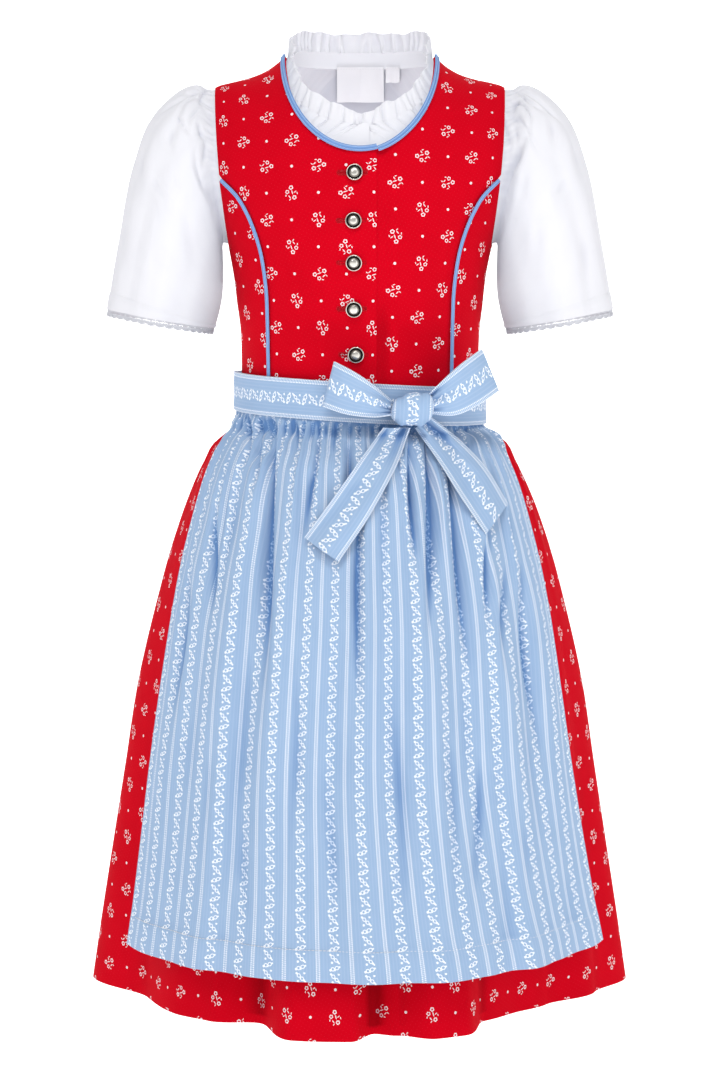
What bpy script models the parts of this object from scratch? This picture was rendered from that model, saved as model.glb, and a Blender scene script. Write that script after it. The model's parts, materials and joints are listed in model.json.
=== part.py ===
# Child's dirndl set, size 98: bodice with joined skirt, tied apron, puff-sleeved blouse.
# Lengths are in millimetres here and become metres in the mesh.
# Frame: origin between the shoulders, +Z up, front faces -Y, +X on the viewer's right.
import math

import bmesh
import bpy
import numpy as np

# Driving sizes
CHEST_Z = -122.0
WAIST_Z = -224.0
HEM_Z = -636.7
TORSO_SCALE = 130.0
ARM_FLARE = 21.0
NECK_HALF = 55.0
NECK_TOP = 5.6
NECK_DROP = 62.0
BACK_NECK_DROP = 25.0
BODICE_WALL = 1.5
SKIRT_WALL = 1.2
APRON_WALL = 1.0
BLOUSE_WALL = 1.0
BLOUSE_INSET = 3.4
SEAM_GAP = 0.36
CLOSURE_X = 11.0
UNDERLAP_X = -10.0
UNDERLAP_SINK = 2.4
BAND_OUT = 3.8
BAND_WALL = 1.1
BAND_HEIGHT = 27.0
WRAP_OUT = 5.3
WRAP_WALL = 1.1
SKIRT_GATHERS = 20
APRON_GATHERS = 27
RUFFLE_WAVES = 40
APRON_HEM_Z = -595.5

# Torso rings: height, half width, front depth, back depth
TORSO = (
    (-246.0, 82.8, 78.0, 72.0),
    (-208.0, 82.4, 77.5, 71.5),
    (-194.0, 82.4, 78.0, 72.0),
    (-177.0, 83.0, 79.5, 73.0),
    (-161.0, 85.0, 82.5, 74.5),
    (-144.0, 87.0, 85.5, 76.0),
    (-122.0, 91.0, 88.0, 78.0),
)

# Shoulder line: distance from the centre, height
SHOULDER = (
    (0.0, 40.0),
    (20.0, 36.0),
    (35.0, 25.5),
    (45.0, 15.5),
    (55.0, 5.5),
    (101.0, -12.4),
    (112.0, -16.5),
)

# Armhole edge: height, half width of the bodice
ARMHOLE = (
    (-122.0, 91.0),
    (-111.0, 92.1),
    (-94.6, 93.7),
    (-78.2, 95.5),
    (-61.7, 97.0),
    (-45.3, 98.3),
    (-28.9, 99.1),
    (-12.0, 99.6),
)

# Curved front seam: height, distance from the centre
FRONT_SEAM = (
    (-224.0, 61.0),
    (-190.0, 61.5),
    (-170.0, 61.8),
    (-151.0, 62.4),
    (-136.6, 64.0),
    (-123.0, 66.5),
    (-111.0, 70.2),
    (-98.6, 75.5),
    (-87.0, 82.6),
    (-76.5, 93.2),
)

# Skirt rings without folds: height, half width, front depth, back depth
SKIRT = (
    (-224.3, 82.5, 77.6, 71.8),
    (-240.0, 83.3, 78.3, 72.6),
    (-244.6, 84.2, 79.0, 73.5),
    (-250.0, 91.0, 84.0, 80.0),
    (-256.0, 99.0, 90.0, 88.0),
    (-269.4, 107.0, 97.0, 96.0),
    (-297.4, 119.5, 108.0, 107.0),
    (-325.5, 130.0, 117.0, 116.0),
    (-368.0, 142.5, 128.5, 128.0),
    (-425.0, 156.5, 141.0, 141.0),
    (-482.0, 166.0, 149.5, 150.0),
    (-539.0, 175.5, 158.0, 158.0),
    (-597.0, 185.0, 166.5, 167.0),
    (-636.7, 191.0, 172.0, 172.0),
)

# Skirt folds at the hem: angle from the front, radius
HEM_FOLDS = (
    (-180.0, 168.0),
    (-170.0, 154.0),
    (-157.0, 175.0),
    (-144.0, 158.0),
    (-131.0, 182.0),
    (-118.0, 165.0),
    (-104.0, 188.0),
    (-90.0, 191.0),
    (-68.0, 160.0),
    (-51.0, 163.0),
    (-40.0, 159.0),
    (-28.0, 144.0),
    (-15.0, 175.0),
    (-2.0, 173.0),
    (3.4, 154.0),
    (9.0, 160.0),
    (17.0, 173.0),
    (24.0, 172.0),
    (34.8, 148.0),
    (46.0, 146.0),
    (58.0, 151.0),
    (74.0, 171.0),
    (88.5, 190.0),
    (103.0, 184.0),
    (115.0, 166.0),
    (129.0, 184.0),
    (141.0, 162.0),
    (155.0, 178.0),
    (168.0, 160.0),
    (180.0, 168.0),
)

# Apron rings without folds: height, half width, front depth
APRON = (
    (-233.0, 86.4, 81.6),
    (-244.8, 88.0, 83.5),
    (-252.0, 96.0, 92.0),
    (-262.0, 103.0, 101.0),
    (-281.0, 112.5, 109.5),
    (-308.0, 122.0, 118.0),
    (-335.0, 131.0, 126.5),
    (-362.0, 139.0, 134.0),
    (-417.0, 151.0, 147.0),
    (-471.5, 160.5, 158.0),
    (-526.0, 168.5, 168.5),
    (-582.0, 176.0, 179.0),
    (-595.5, 178.0, 181.0),
)

# Apron folds: angle from the front, offset in the middle, offset at the hem
APRON_FOLDS = (
    (-84.0, 0.0, 0.0),
    (-66.0, -1.5, -2.0),
    (-57.0, 2.0, -1.0),
    (-48.0, -2.5, -3.0),
    (-38.0, 3.0, 0.5),
    (-31.0, -5.0, -4.5),
    (-23.0, 2.8, -1.5),
    (-14.0, 0.5, 0.0),
    (-7.0, -2.5, -1.0),
    (1.0, 2.5, 2.5),
    (9.0, -1.8, 1.0),
    (18.0, 3.5, 6.0),
    (27.5, -4.8, 1.5),
    (34.0, 0.5, -2.0),
    (40.0, 3.0, 4.0),
    (48.0, -2.5, -0.5),
    (56.0, 2.5, -3.0),
    (64.0, -1.5, 0.0),
    (84.0, 1.0, 2.0),
)

# Apron side edges: height, x of the left edge, x of the right edge
APRON_EDGE = (
    (-233.0, -85.4, 85.4),
    (-244.8, -87.2, 87.0),
    (-256.0, -96.5, 96.0),
    (-281.0, -107.5, 108.0),
    (-308.0, -115.2, 116.0),
    (-335.0, -122.0, 122.9),
    (-362.0, -127.0, 128.2),
    (-417.0, -135.8, 136.5),
    (-471.5, -143.4, 144.1),
    (-526.0, -149.7, 153.1),
    (-582.0, -157.0, 163.9),
    (-595.5, -159.2, 167.4),
)

# Waistband top edge: angle from the front, height
BAND_TOP = (
    (-90.0, -206.6),
    (-28.0, -209.2),
    (8.0, -212.0),
    (40.0, -214.6),
    (90.0, -217.0),
    (180.0, -212.0),
)

# Sleeve rings: outer x, outer z, inner x, inner z, half depth, share of the armhole's own shape
SLEEVE = (
    (105.5, -13.2, 94.4, -118.6, 31.5, 0.75),
    (110.5, -11.0, 95.4, -121.0, 37.0, 0.35),
    (119.5, -12.3, 95.2, -127.5, 43.0, 0.0),
    (132.0, -20.7, 95.0, -134.5, 46.5, 0.0),
    (144.5, -35.5, 95.0, -142.5, 48.5, 0.0),
    (155.5, -64.0, 95.4, -153.0, 49.5, 0.0),
    (166.5, -117.0, 98.2, -170.0, 47.5, 0.0),
    (172.5, -151.5, 100.2, -177.0, 45.5, 0.0),
    (175.0, -166.5, 101.2, -179.5, 45.0, 0.0),
)

# Button centres on the upper front: x, z
BUTTONS = (
    (-3.6, -72.2),
    (-4.3, -103.8),
    (-4.0, -131.5),
    (-4.0, -162.2),
    (-2.7, -192.8),
)

# Button profile from the back to the middle of the dome: radius, height
BUTTON_PROFILE = (
    (4.7, 0.0),
    (5.45, 0.9),
    (5.3, 2.0),
    (4.6, 2.4),
    (4.0, 1.8),
    (2.8, 2.9),
)

# Bow loops along the ribbon: run from knot to end, top x, top z, low x, low z
LOOP_LEFT = (
    (0.00, 20.5, -222.5, 20.5, -232.0),
    (0.35, 9.3, -212.5, 8.5, -233.0),
    (0.70, -4.0, -203.5, -9.0, -231.5),
    (1.00, -16.5, -197.0, -24.0, -227.0),
)
LOOP_RIGHT = (
    (0.00, 44.3, -221.0, 44.3, -231.5),
    (0.35, 57.5, -207.5, 62.0, -233.0),
    (0.70, 69.5, -197.5, 78.0, -227.0),
    (1.00, 81.0, -189.5, 93.0, -218.0),
)

# Bow tails along the ribbon: run, left x, left z, right x, right z
TAIL_LEFT = (
    (0.00, 16.0, -240.9, 33.0, -240.9),
    (0.30, 3.0, -257.0, 24.0, -264.0),
    (0.65, -18.0, -286.0, 6.5, -296.0),
    (1.00, -36.6, -311.0, -14.0, -326.0),
)
TAIL_RIGHT = (
    (0.00, 36.8, -241.8, 46.0, -232.6),
    (0.30, 52.0, -262.0, 68.0, -251.0),
    (0.65, 66.0, -284.0, 85.0, -269.0),
    (1.00, 84.0, -311.0, 99.6, -293.0),
)


# Interpolate one column of a table by its first column
def column(table, at, index):
    rows = sorted(table)
    keys = [row[0] for row in rows]
    values = [row[index] for row in rows]
    return np.interp(at, keys, values)


# Pass smoothly through the peaks and valleys of a fold table
def smooth_column(table, at, index):
    keys = np.array([row[0] for row in table])
    values = np.array([row[index] for row in table])
    spot = np.clip(np.searchsorted(keys, at) - 1, 0, len(keys) - 2)
    part = np.clip((at - keys[spot]) / (keys[spot + 1] - keys[spot]), 0.0, 1.0)
    ease = part * part * (3.0 - 2.0 * part)
    return values[spot] + (values[spot + 1] - values[spot]) * ease


# Height of the shoulder line above the chest
def rise(x):
    return column(SHOULDER, np.abs(x), 1) - CHEST_Z


# Point of the torso: turn is the angle round from the front, lift runs up the body
def torso(turn, lift):
    front = np.cos(turn) >= 0.0
    if lift < 0.0:
        z = CHEST_Z + TORSO_SCALE * lift
        depth = column(TORSO, z, 2 if front else 3)
        return np.array((column(TORSO, z, 1) * math.sin(turn), -depth * math.cos(turn), z))
    half = column(TORSO, CHEST_Z, 1) + ARM_FLARE * math.sin(2.0 * min(lift, math.pi / 4))
    depth = column(TORSO, CHEST_Z, 2 if front else 3)
    x = half * math.sin(turn)
    return np.array((x, -depth * math.cos(turn) * math.cos(lift), CHEST_Z + rise(x) * math.sin(lift)))


# Torso position of a place seen from the front, on the front or the back half
def torso_at(x, z, back=False):
    if z < CHEST_Z:
        lift = (z - CHEST_Z) / TORSO_SCALE
        half = column(TORSO, z, 1)
    else:
        lift = math.asin(min(1.0, (z - CHEST_Z) / rise(x)))
        half = column(TORSO, CHEST_Z, 1) + ARM_FLARE * math.sin(2.0 * min(lift, math.pi / 4))
    turn = math.asin(max(-1.0, min(1.0, x / half)))
    if back:
        turn = math.pi - turn
    return np.array((turn, min(lift, math.pi / 2 - 0.0024)))


# Outward direction of the torso
def torso_normal(turn, lift):
    step = 0.004
    across = torso(turn + step, lift) - torso(turn - step, lift)
    upward = torso(turn, lift + step) - torso(turn, lift - step)
    normal = np.cross(across, upward)
    return normal / np.linalg.norm(normal)


# Grid between two lines of torso positions, moved in by sink, with the wall's inner side
def torso_wall(left, right, columns, wall, sink):
    outer = np.zeros((len(left), columns + 1, 3))
    inner = np.zeros_like(outer)
    for row, (start, end) in enumerate(zip(left, right)):
        for spot in range(columns + 1):
            turn, lift = start + (end - start) * spot / columns
            point = torso(turn, lift)
            normal = torso_normal(turn, lift)
            depth = sink(point, spot / columns, row / (len(left) - 1))
            outer[row, spot] = point - normal * depth
            inner[row, spot] = point - normal * (depth + wall)
    return outer, inner


# Unit normals of a grid taken from its own neighbours
def grid_normals(grid, closed=False):
    if closed:
        across = np.roll(grid, -1, axis=1) - np.roll(grid, 1, axis=1)
    else:
        across = np.gradient(grid, axis=1)
    upward = np.gradient(grid, axis=0)
    normal = np.cross(across, upward)
    return normal / np.linalg.norm(normal, axis=2, keepdims=True)


# Material with a plain colour
def material(name, colour, roughness=0.85, metallic=0.0):
    made = bpy.data.materials.new(name)
    made.use_nodes = True
    shader = made.node_tree.nodes["Principled BSDF"]
    shader.inputs["Base Color"].default_value = (*colour, 1.0)
    shader.inputs["Roughness"].default_value = roughness
    shader.inputs["Metallic"].default_value = metallic
    return made


# Mesh object from points in millimetres
def solid(name, points, faces, made):
    mesh = bpy.data.meshes.new(name)
    mesh.from_pydata([tuple(point * 0.001) for point in points], [], faces)
    work = bmesh.new()
    work.from_mesh(mesh)
    bmesh.ops.remove_doubles(work, verts=work.verts, dist=0.000005)
    bmesh.ops.recalc_face_normals(work, faces=work.faces)
    bmesh.ops.triangulate(work, faces=work.faces)
    work.to_mesh(mesh)
    work.free()
    mesh.materials.append(made)
    made_object = bpy.data.objects.new(name, mesh)
    bpy.context.collection.objects.link(made_object)
    return made_object


# Faces of a closed wall; the first and last columns stay open for the given number of rows
def wall_faces(rows, columns, base, closed, open_first, open_last):
    back = rows * columns
    faces = []
    spans = columns if closed else columns - 1
    for row in range(rows - 1):
        for spot in range(spans):
            follow = (spot + 1) % columns
            a, b = row * columns + spot, row * columns + follow
            c, d = a + columns, b + columns
            faces += [(a, b, d, c), (back + a, back + c, back + d, back + b)]
    for spot in range(spans):
        follow = (spot + 1) % columns
        last = (rows - 1) * columns
        faces.append((spot, back + spot, back + follow, follow))
        faces.append((last + spot, last + follow, back + last + follow, back + last + spot))
    if not closed:
        for row in range(open_first, rows - 1):
            a, c = row * columns, (row + 1) * columns
            faces.append((a, c, back + c, back + a))
        for row in range(open_last, rows - 1):
            a, c = (row + 1) * columns - 1, (row + 2) * columns - 1
            faces.append((a, back + a, back + c, c))
    return [tuple(base + corner for corner in face) for face in faces]


# Closed wall between an outer and an inner grid
def wall_solid(name, outer, inner, made, closed=False):
    rows, columns = outer.shape[:2]
    points = list(outer.reshape(-1, 3)) + list(inner.reshape(-1, 3))
    return solid(name, points, wall_faces(rows, columns, 0, closed, 0, 0), made)


# Two walls welded along their shared edge up to the given row
def joined_solid(name, first, second, joined, made):
    rows, columns = first[0].shape[:2]
    points = []
    for grid in (first[0], first[1], second[0], second[1]):
        points += list(grid.reshape(-1, 3))
    faces = wall_faces(rows, columns, 0, False, 0, joined)
    faces += wall_faces(rows, columns, 2 * rows * columns, False, joined, 0)
    return solid(name, points, faces, made)


# Tube with an oval section along a path: half width along side, half height along normal
def tube_solid(name, path, side, normal, half_width, half_height, made, segments=8):
    count = len(path)
    points = []
    for spot in range(count):
        for step in range(segments):
            angle = 2.0 * math.pi * (step + 0.5) / segments
            points.append(
                path[spot]
                + side[spot] * half_width * math.cos(angle)
                + normal[spot] * half_height * math.sin(angle)
            )
    faces = []
    for spot in range(count - 1):
        for step in range(segments):
            follow = (step + 1) % segments
            a, b = spot * segments + step, spot * segments + follow
            faces.append((a, b, b + segments, a + segments))
    faces.append(tuple(range(segments)))
    faces.append(tuple(range((count - 1) * segments, count * segments)))
    return solid(name, points, faces, made)


# Evenly spaced positions along a line of torso positions
def respaced(line, count):
    points = np.array([torso(*spot) for spot in line])
    run = np.concatenate(([0.0], np.cumsum(np.linalg.norm(np.diff(points, axis=0), axis=1))))
    want = np.linspace(0.0, run[-1], count)
    return np.stack([np.interp(want, run, np.array(line)[:, k]) for k in range(2)], axis=1)


# Line of torso positions moved sideways on the surface, positive to the right of its run
def shifted(line, distance):
    moved = []
    for spot in range(len(line)):
        before = torso(*line[max(spot - 1, 0)])
        after = torso(*line[min(spot + 1, len(line) - 1)])
        turn, lift = line[spot]
        along = after - before
        side = np.cross(along, torso_normal(turn, lift))
        side = side / np.linalg.norm(side) * distance
        step = 0.002
        across = (torso(turn + step, lift) - torso(turn - step, lift)) / (2 * step)
        upward = (torso(turn, lift + step) - torso(turn, lift - step)) / (2 * step)
        answer = np.linalg.lstsq(np.stack((across, upward), axis=1), side, rcond=None)[0]
        moved.append((turn + answer[0], min(lift + answer[1], math.pi / 2 - 0.0024)))
    return np.array(moved)


# Mirror torso positions to the other side of the body
def mirrored(line):
    return np.array([(-turn, lift) for turn, lift in line])


# Armhole edge from one height to the shoulder on the front or back half
def armhole_line(low, count, back=False):
    spots = []
    for z in np.linspace(low, -11.8, 40):
        x = column(ARMHOLE, z, 1)
        spots.append(torso_at(x, z, back))
    return respaced(spots, count)


# Front neckline from an x near the middle out to the shoulder
def neck_line(start_x, count):
    first = math.asin(start_x / NECK_HALF)
    spots = []
    for angle in np.linspace(first, math.pi / 2, 50):
        spots.append(torso_at(NECK_HALF * math.sin(angle), NECK_TOP - NECK_DROP * math.cos(angle)))
    return respaced(spots, count)


# Back neckline from the middle out to the shoulder
def back_neck_line(count):
    spots = []
    for angle in np.linspace(0.0, math.pi / 2, 40):
        x = NECK_HALF * math.sin(angle)
        spots.append(torso_at(x, NECK_TOP - BACK_NECK_DROP * math.cos(angle), True))
    return respaced(spots, count)


RED = material("red printed cotton", (0.68, 0.006, 0.02))
BLUE = material("light blue apron cotton", (0.39, 0.55, 0.83), 0.6)
PIPING = material("light blue piping", (0.32, 0.47, 0.78), 0.6)
WHITE = material("white blouse cotton", (0.86, 0.87, 0.89))
SILVER = material("antique silver button", (0.45, 0.43, 0.4), 0.35, 1.0)
LABEL = material("white woven tape", (0.9, 0.9, 0.9), 0.7)

FULL = lambda point, across, up: 0.0


# Sink of the under front where the upper front lies over it
def underlap_sink(point, across, up):
    part = min(1.0, max(0.0, (24.0 - point[0]) / 9.0))
    return UNDERLAP_SINK * part * part * (3.0 - 2.0 * part)


# Curved front seam as torso positions on the viewer's right
def front_seam(count):
    spots = []
    for z in np.linspace(WAIST_Z, -76.5, 40):
        spots.append(torso_at(column(FRONT_SEAM, z, 1), z))
    return respaced(spots, count)


# Front panel between the closing edge and the curved seam, on the viewer's right
def front_panel(name, edge_x, sink, mirror, columns):
    neck_z = NECK_TOP - NECK_DROP * math.sqrt(1.0 - (edge_x / NECK_HALF) ** 2)
    edge = [torso_at(edge_x, z) for z in np.linspace(WAIST_Z, neck_z, 8)]
    left = np.concatenate((edge, neck_line(edge_x, 12)[1:]))
    seam = shifted(front_seam(12), -SEAM_GAP / 2)
    right = np.concatenate((seam, armhole_line(-75.2, 8)[1:]))
    if mirror:
        left, right = mirrored(right), mirrored(left)
    outer, inner = torso_wall(left, right, columns, BODICE_WALL, sink)
    return wall_solid(name, outer, inner, RED)


# Five panels; the upper front runs past the middle, so its edge changes sign when mirrored
def build_bodice():
    front_panel("bodice_front_right", -CLOSURE_X, FULL, True, 8)
    front_panel("bodice_front_left", UNDERLAP_X, underlap_sink, False, 9)
    seam = shifted(front_seam(12), SEAM_GAP / 2)
    side = []
    for spot in range(12):
        height = torso(*seam[spot])[2]
        if height < CHEST_Z:
            lift = (height - CHEST_Z) / TORSO_SCALE
            side.append((math.pi / 2 - 0.002, lift))
        else:
            side.append(torso_at(column(ARMHOLE, height, 1), height))
    side = np.array(side)
    outer, inner = torso_wall(seam, side, 4, BODICE_WALL, FULL)
    wall_solid("bodice_side_left", outer, inner, RED)
    outer, inner = torso_wall(mirrored(side), mirrored(seam), 4, BODICE_WALL, FULL)
    wall_solid("bodice_side_right", outer, inner, RED)
    low = [(math.pi / 2 + 0.002, lift) for lift in np.linspace((WAIST_Z - CHEST_Z) / TORSO_SCALE, 0.0, 7)]
    arm = np.concatenate((low, armhole_line(CHEST_Z + 0.5, 11, True)[1:]))
    middle = [torso_at(0.0, z, True) for z in np.linspace(WAIST_Z, NECK_TOP - BACK_NECK_DROP, 8)]
    neck = np.concatenate((middle, back_neck_line(10)[1:]))
    far_arm = np.array([(2.0 * math.pi - turn, lift) for turn, lift in arm])
    far_neck = np.array([(2.0 * math.pi - turn, lift) for turn, lift in neck])
    near = torso_wall(arm, neck, 6, BODICE_WALL, FULL)
    far = torso_wall(far_neck, far_arm, 6, BODICE_WALL, FULL)
    joined_solid("bodice_back", near, far, 7, RED)


# Piping over a line of torso positions
def piping(name, line, half_width, half_height, above=SEAM_GAP):
    path, side, normal = [], [], []
    for spot in range(len(line)):
        before = torso(*line[max(spot - 1, 0)])
        after = torso(*line[min(spot + 1, len(line) - 1)])
        up = torso_normal(*line[spot])
        along = after - before
        across = np.cross(along, up)
        across = across / np.linalg.norm(across)
        path.append(torso(*line[spot]) + up * (half_height + above))
        side.append(across)
        normal.append(np.cross(across, along / np.linalg.norm(along)))
    tube_solid(name, path, side, normal, half_width, half_height, PIPING, 6)


# Piping on both curved seams and round the neckline, open where the fronts close
def build_piping():
    seam = front_seam(12)
    piping("seam_piping_left", seam, 1.45, 0.9)
    piping("seam_piping_right", mirrored(seam), 1.45, 0.9)
    right = shifted(neck_line(CLOSURE_X + 1.6, 12), 1.8)
    left = mirrored(shifted(neck_line(-CLOSURE_X + 0.6, 12), 1.8))
    back = shifted(back_neck_line(13), -1.8)
    far = np.array([(-turn, lift) for turn, lift in back])
    line = np.concatenate((left, far[:-1][::-1], back[1:-1], right[::-1]))
    piping("neck_piping", line, 1.6, 0.9, 0.7)


# Domed buttons standing on the upper front
def build_buttons():
    for number, (x, z) in enumerate(BUTTONS, 1):
        turn, lift = torso_at(x, z)
        normal = torso_normal(turn, lift)
        side = np.array((1.0, 0.0, 0.0))
        up = np.cross(normal, side)
        centre = torso(turn, lift) + normal * 0.75
        points = [centre]
        segments = 12
        for radius, height in BUTTON_PROFILE:
            for step in range(segments):
                angle = 2.0 * math.pi * step / segments
                ring = side * math.cos(angle) + up * math.sin(angle)
                points.append(centre + ring * radius + normal * height)
        points.append(centre + normal * 3.5)
        faces = []
        for step in range(segments):
            follow = (step + 1) % segments
            faces.append((0, 1 + follow, 1 + step))
            for ring in range(len(BUTTON_PROFILE) - 1):
                a, b = 1 + ring * segments + step, 1 + ring * segments + follow
                faces.append((a, b, b + segments, a + segments))
            last = 1 + (len(BUTTON_PROFILE) - 1) * segments
            faces.append((last + step, last + follow, len(points) - 1))
        solid("button_%d" % number, points, faces, SILVER)


# Radius of the plain skirt or apron ring in a direction
def ring_radius(table, angle, z, back_index):
    half = column(table, z, 1)
    depth = np.where(np.cos(angle) >= 0.0, column(table, z, 2), column(table, z, back_index))
    return half * depth / np.sqrt((depth * np.sin(angle)) ** 2 + (half * np.cos(angle)) ** 2)


# Share of the hem folds that shows at a height
def fold_growth(z):
    return np.clip((-246.0 - z) / (-246.0 - HEM_Z), 0.0, 1.0) ** 1.35


# Size of the small waist gathers below a starting height
def gather_size(z, top, full, fade):
    return full * np.clip((top - z) / 10.0, 0.0, 1.0) * np.exp(-np.clip(top - z, 0.0, None) / fade)


# Radius of the skirt's outer face
def skirt_radius(angle, z):
    hem = smooth_column(HEM_FOLDS, np.degrees(angle), 1)
    fold = hem - ring_radius(SKIRT, angle, HEM_Z, 3)
    share = 2.0 * np.mod(angle / math.pi * SKIRT_GATHERS, 1.0) - 1.0
    gather = gather_size(z, -243.0, 3.4, 42.0) * (np.abs(share) - 0.5)
    return ring_radius(SKIRT, angle, z, 3) + fold * fold_growth(z) + gather


# Radius of the apron's outer face, kept clear of the skirt below it
def apron_radius(angle, z, share):
    top = column(BAND_TOP, np.degrees(angle), 1) - BAND_HEIGHT
    middle = smooth_column(APRON_FOLDS, np.degrees(angle), 1)
    hem = smooth_column(APRON_FOLDS, np.degrees(angle), 2)
    low = np.clip((-250.0 - z) / (-250.0 - APRON_HEM_Z), 0.0, 1.0)
    fold = middle * np.sin(math.pi * np.clip(low * 1.15, 0.0, 1.0)) + hem * low ** 2
    gather = gather_size(z, top - 1.0, 3.0, 45.0) * (np.abs(2.0 * np.mod(share * APRON_GATHERS, 1.0) - 1.0) - 0.5)
    own = ring_radius(APRON, angle, z, 2) + fold + gather
    least = skirt_radius(angle, z) + 3.4
    return np.maximum(own, least)


# Skirt front and back, gathered at the waist and folded down to a level hem
def build_skirt():
    heights = (-224.4, -244.6, -250.0, -258.0, -272.0, -305.0, -360.0, -430.0, -505.0, -575.0, HEM_Z)
    for name, start in (("skirt_front", -90.0), ("skirt_back", 90.0)):
        gap = 0.12
        angles = np.radians(np.linspace(start + gap, start + 180.0 - gap, 2 * SKIRT_GATHERS + 1))
        signed = np.where(angles > math.pi, angles - 2.0 * math.pi, angles)
        outer = np.zeros((len(heights), len(angles), 3))
        for row, z in enumerate(heights):
            radius = skirt_radius(signed, z)
            outer[row] = np.stack((radius * np.sin(angles), -radius * np.cos(angles), np.full(len(angles), z)), axis=1)
        normal = -grid_normals(outer[::-1])[::-1]
        normal = np.where(np.sum(normal * outer * (1, 1, 0), axis=2, keepdims=True) < 0, -normal, normal)
        for end in (0, -1):
            normal[:, end, 1] = 0.0
            normal[:, end] /= np.linalg.norm(normal[:, end], axis=1, keepdims=True)
        inner = outer - normal * SKIRT_WALL
        inner[0, :, 2] = outer[0, :, 2]
        inner[-1, :, 2] = outer[-1, :, 2]
        wall_solid(name, outer, inner, RED)


# Apron panel hanging from the lower edge of its waistband
def build_apron():
    shares = np.linspace(0.0, 1.0, 2 * APRON_GATHERS + 1)
    heights = (-233.0, -241.0, -250.0, -260.0, -285.0, -330.0, -395.0, -465.0, -535.0, APRON_HEM_Z)
    outer = np.zeros((len(heights), len(shares), 3))
    for row, z in enumerate(heights):
        ends = []
        for index, sign in ((1, -1.0), (2, 1.0)):
            edge = column(APRON_EDGE, z, index)
            angle = sign * 1.2
            for _ in range(12):
                radius = float(apron_radius(np.array(angle), z, 0.5 + 0.5 * sign))
                angle = 0.5 * (angle + math.asin(max(-0.997, min(0.997, edge / radius))))
            ends.append(angle)
        angles = ends[0] + (ends[1] - ends[0]) * shares
        top = column(BAND_TOP, np.degrees(angles), 1) - BAND_HEIGHT - 0.4
        part = (z - heights[0]) / (heights[3] - heights[0])
        level = np.where(part < 1.0, top + (heights[3] - top) * part, z) if row < 4 else np.full(len(angles), z)
        radius = np.array([float(apron_radius(a, h, s)) for a, h, s in zip(angles, level, shares)])
        if row == 0:
            radius = ring_radius(TORSO, angles, top, 3) + BAND_OUT + 0.9
        outer[row] = np.stack((radius * np.sin(angles), -radius * np.cos(angles), level), axis=1)
    normal = grid_normals(outer)
    normal = np.where(np.sum(normal * outer * (1, 1, 0), axis=2, keepdims=True) < 0, -normal, normal)
    inner = outer - normal * APRON_WALL
    inner[0, :, 2] = outer[0, :, 2]
    inner[-1, :, 2] = outer[-1, :, 2]
    wall_solid("apron_panel", outer, inner, BLUE)


# Flat strip round the waist standing off the torso
def waist_strip(name, start, end, out, wall, count, trim, closed=False):
    angles = np.radians(np.linspace(start, end, count, endpoint=not closed))
    signed = np.where(angles > math.pi, angles - 2.0 * math.pi, angles)
    rows = []
    for share in (0.0, 1.0):
        z = column(BAND_TOP, np.abs(np.degrees(signed)), 1)
        z = np.where(signed < 0.0, column(BAND_TOP, np.degrees(signed), 1), z)
        z = np.where(np.abs(signed) > math.pi / 2, back_band_top(np.degrees(signed)), z)
        z = z - trim - (BAND_HEIGHT - 2.0 * trim) * (1.0 - share)
        radius = ring_radius(TORSO, signed, z, 3) + out
        rows.append(np.stack((radius * np.sin(signed), -radius * np.cos(signed), z), axis=1))
    outer = np.array(rows)
    flat = np.stack((np.sin(signed), -np.cos(signed), np.zeros(count)), axis=1)
    inner = outer - flat[None] * wall
    wall_solid(name, outer, inner, BLUE, closed)


# Height of the strip's top edge round the back, from one side to the other
def back_band_top(degrees):
    left, right = column(BAND_TOP, -90.0, 1), column(BAND_TOP, 90.0, 1)
    run = np.mod(degrees, 360.0) - 90.0
    return right + (left - right) * np.clip(run / 180.0, 0.0, 1.0)


# Waistband of the apron and the tie strings wrapped once round over it
def build_band():
    waist_strip("apron_waistband", -86.0, 86.0, BAND_OUT, BAND_WALL, 31, 0.0)
    waist_strip("apron_tie_wrap", 0.0, 360.0, WRAP_OUT, WRAP_WALL, 40, 0.4, True)


# Depth of the wrap's outer face in front at an x
def wrap_front(x):
    half, depth = 82.6 + WRAP_OUT, 78.0 + WRAP_OUT
    return -depth * math.sqrt(max(0.0, 1.0 - (x / half) ** 2))


# Ribbon loop: goes out along the wrap and returns in front of itself
def bow_loop(name, table):
    runs = (0.0, 0.12, 0.3, 0.5, 0.7, 0.88, 1.0)
    bulge = (3.4, 6.0, 10.0, 12.0, 11.0, 8.6, 5.0)
    path = [(run, 0.0) for run in runs] + [(run, full) for run, full in zip(runs[::-1], bulge[::-1])]
    rows = []
    for share in (0.0, 0.33, 0.67, 1.0):
        row = []
        for run, out in path:
            top = np.array((column(table, run, 1), column(table, run, 2)))
            low = np.array((column(table, run, 3), column(table, run, 4)))
            x, z = low + (top - low) * share
            base = -(80.0 + WRAP_OUT) * math.sqrt(max(0.0, 1.0 - (x / 128.0) ** 2)) - 2.2
            base = min(base, wrap_front(x) - 1.8)
            pinch = 1.2 * math.cos(math.pi * (2.0 * share - 1.0)) * (1.0 - run) ** 2
            front = -0.9 * math.sin(math.pi * share) if out else 0.6 * math.sin(math.pi * share)
            row.append((x, base - out + pinch * (1.0 if out else 0.0) + front, z))
        rows.append(row)
    outer = np.array(rows)
    normal = grid_normals(outer)
    middle = outer.mean(axis=1, keepdims=True)
    turn = np.sign(np.sum(normal * (outer - middle), axis=2).sum())
    inner = outer - turn * normal * 0.8
    wall_solid(name, outer, inner, BLUE)


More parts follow.
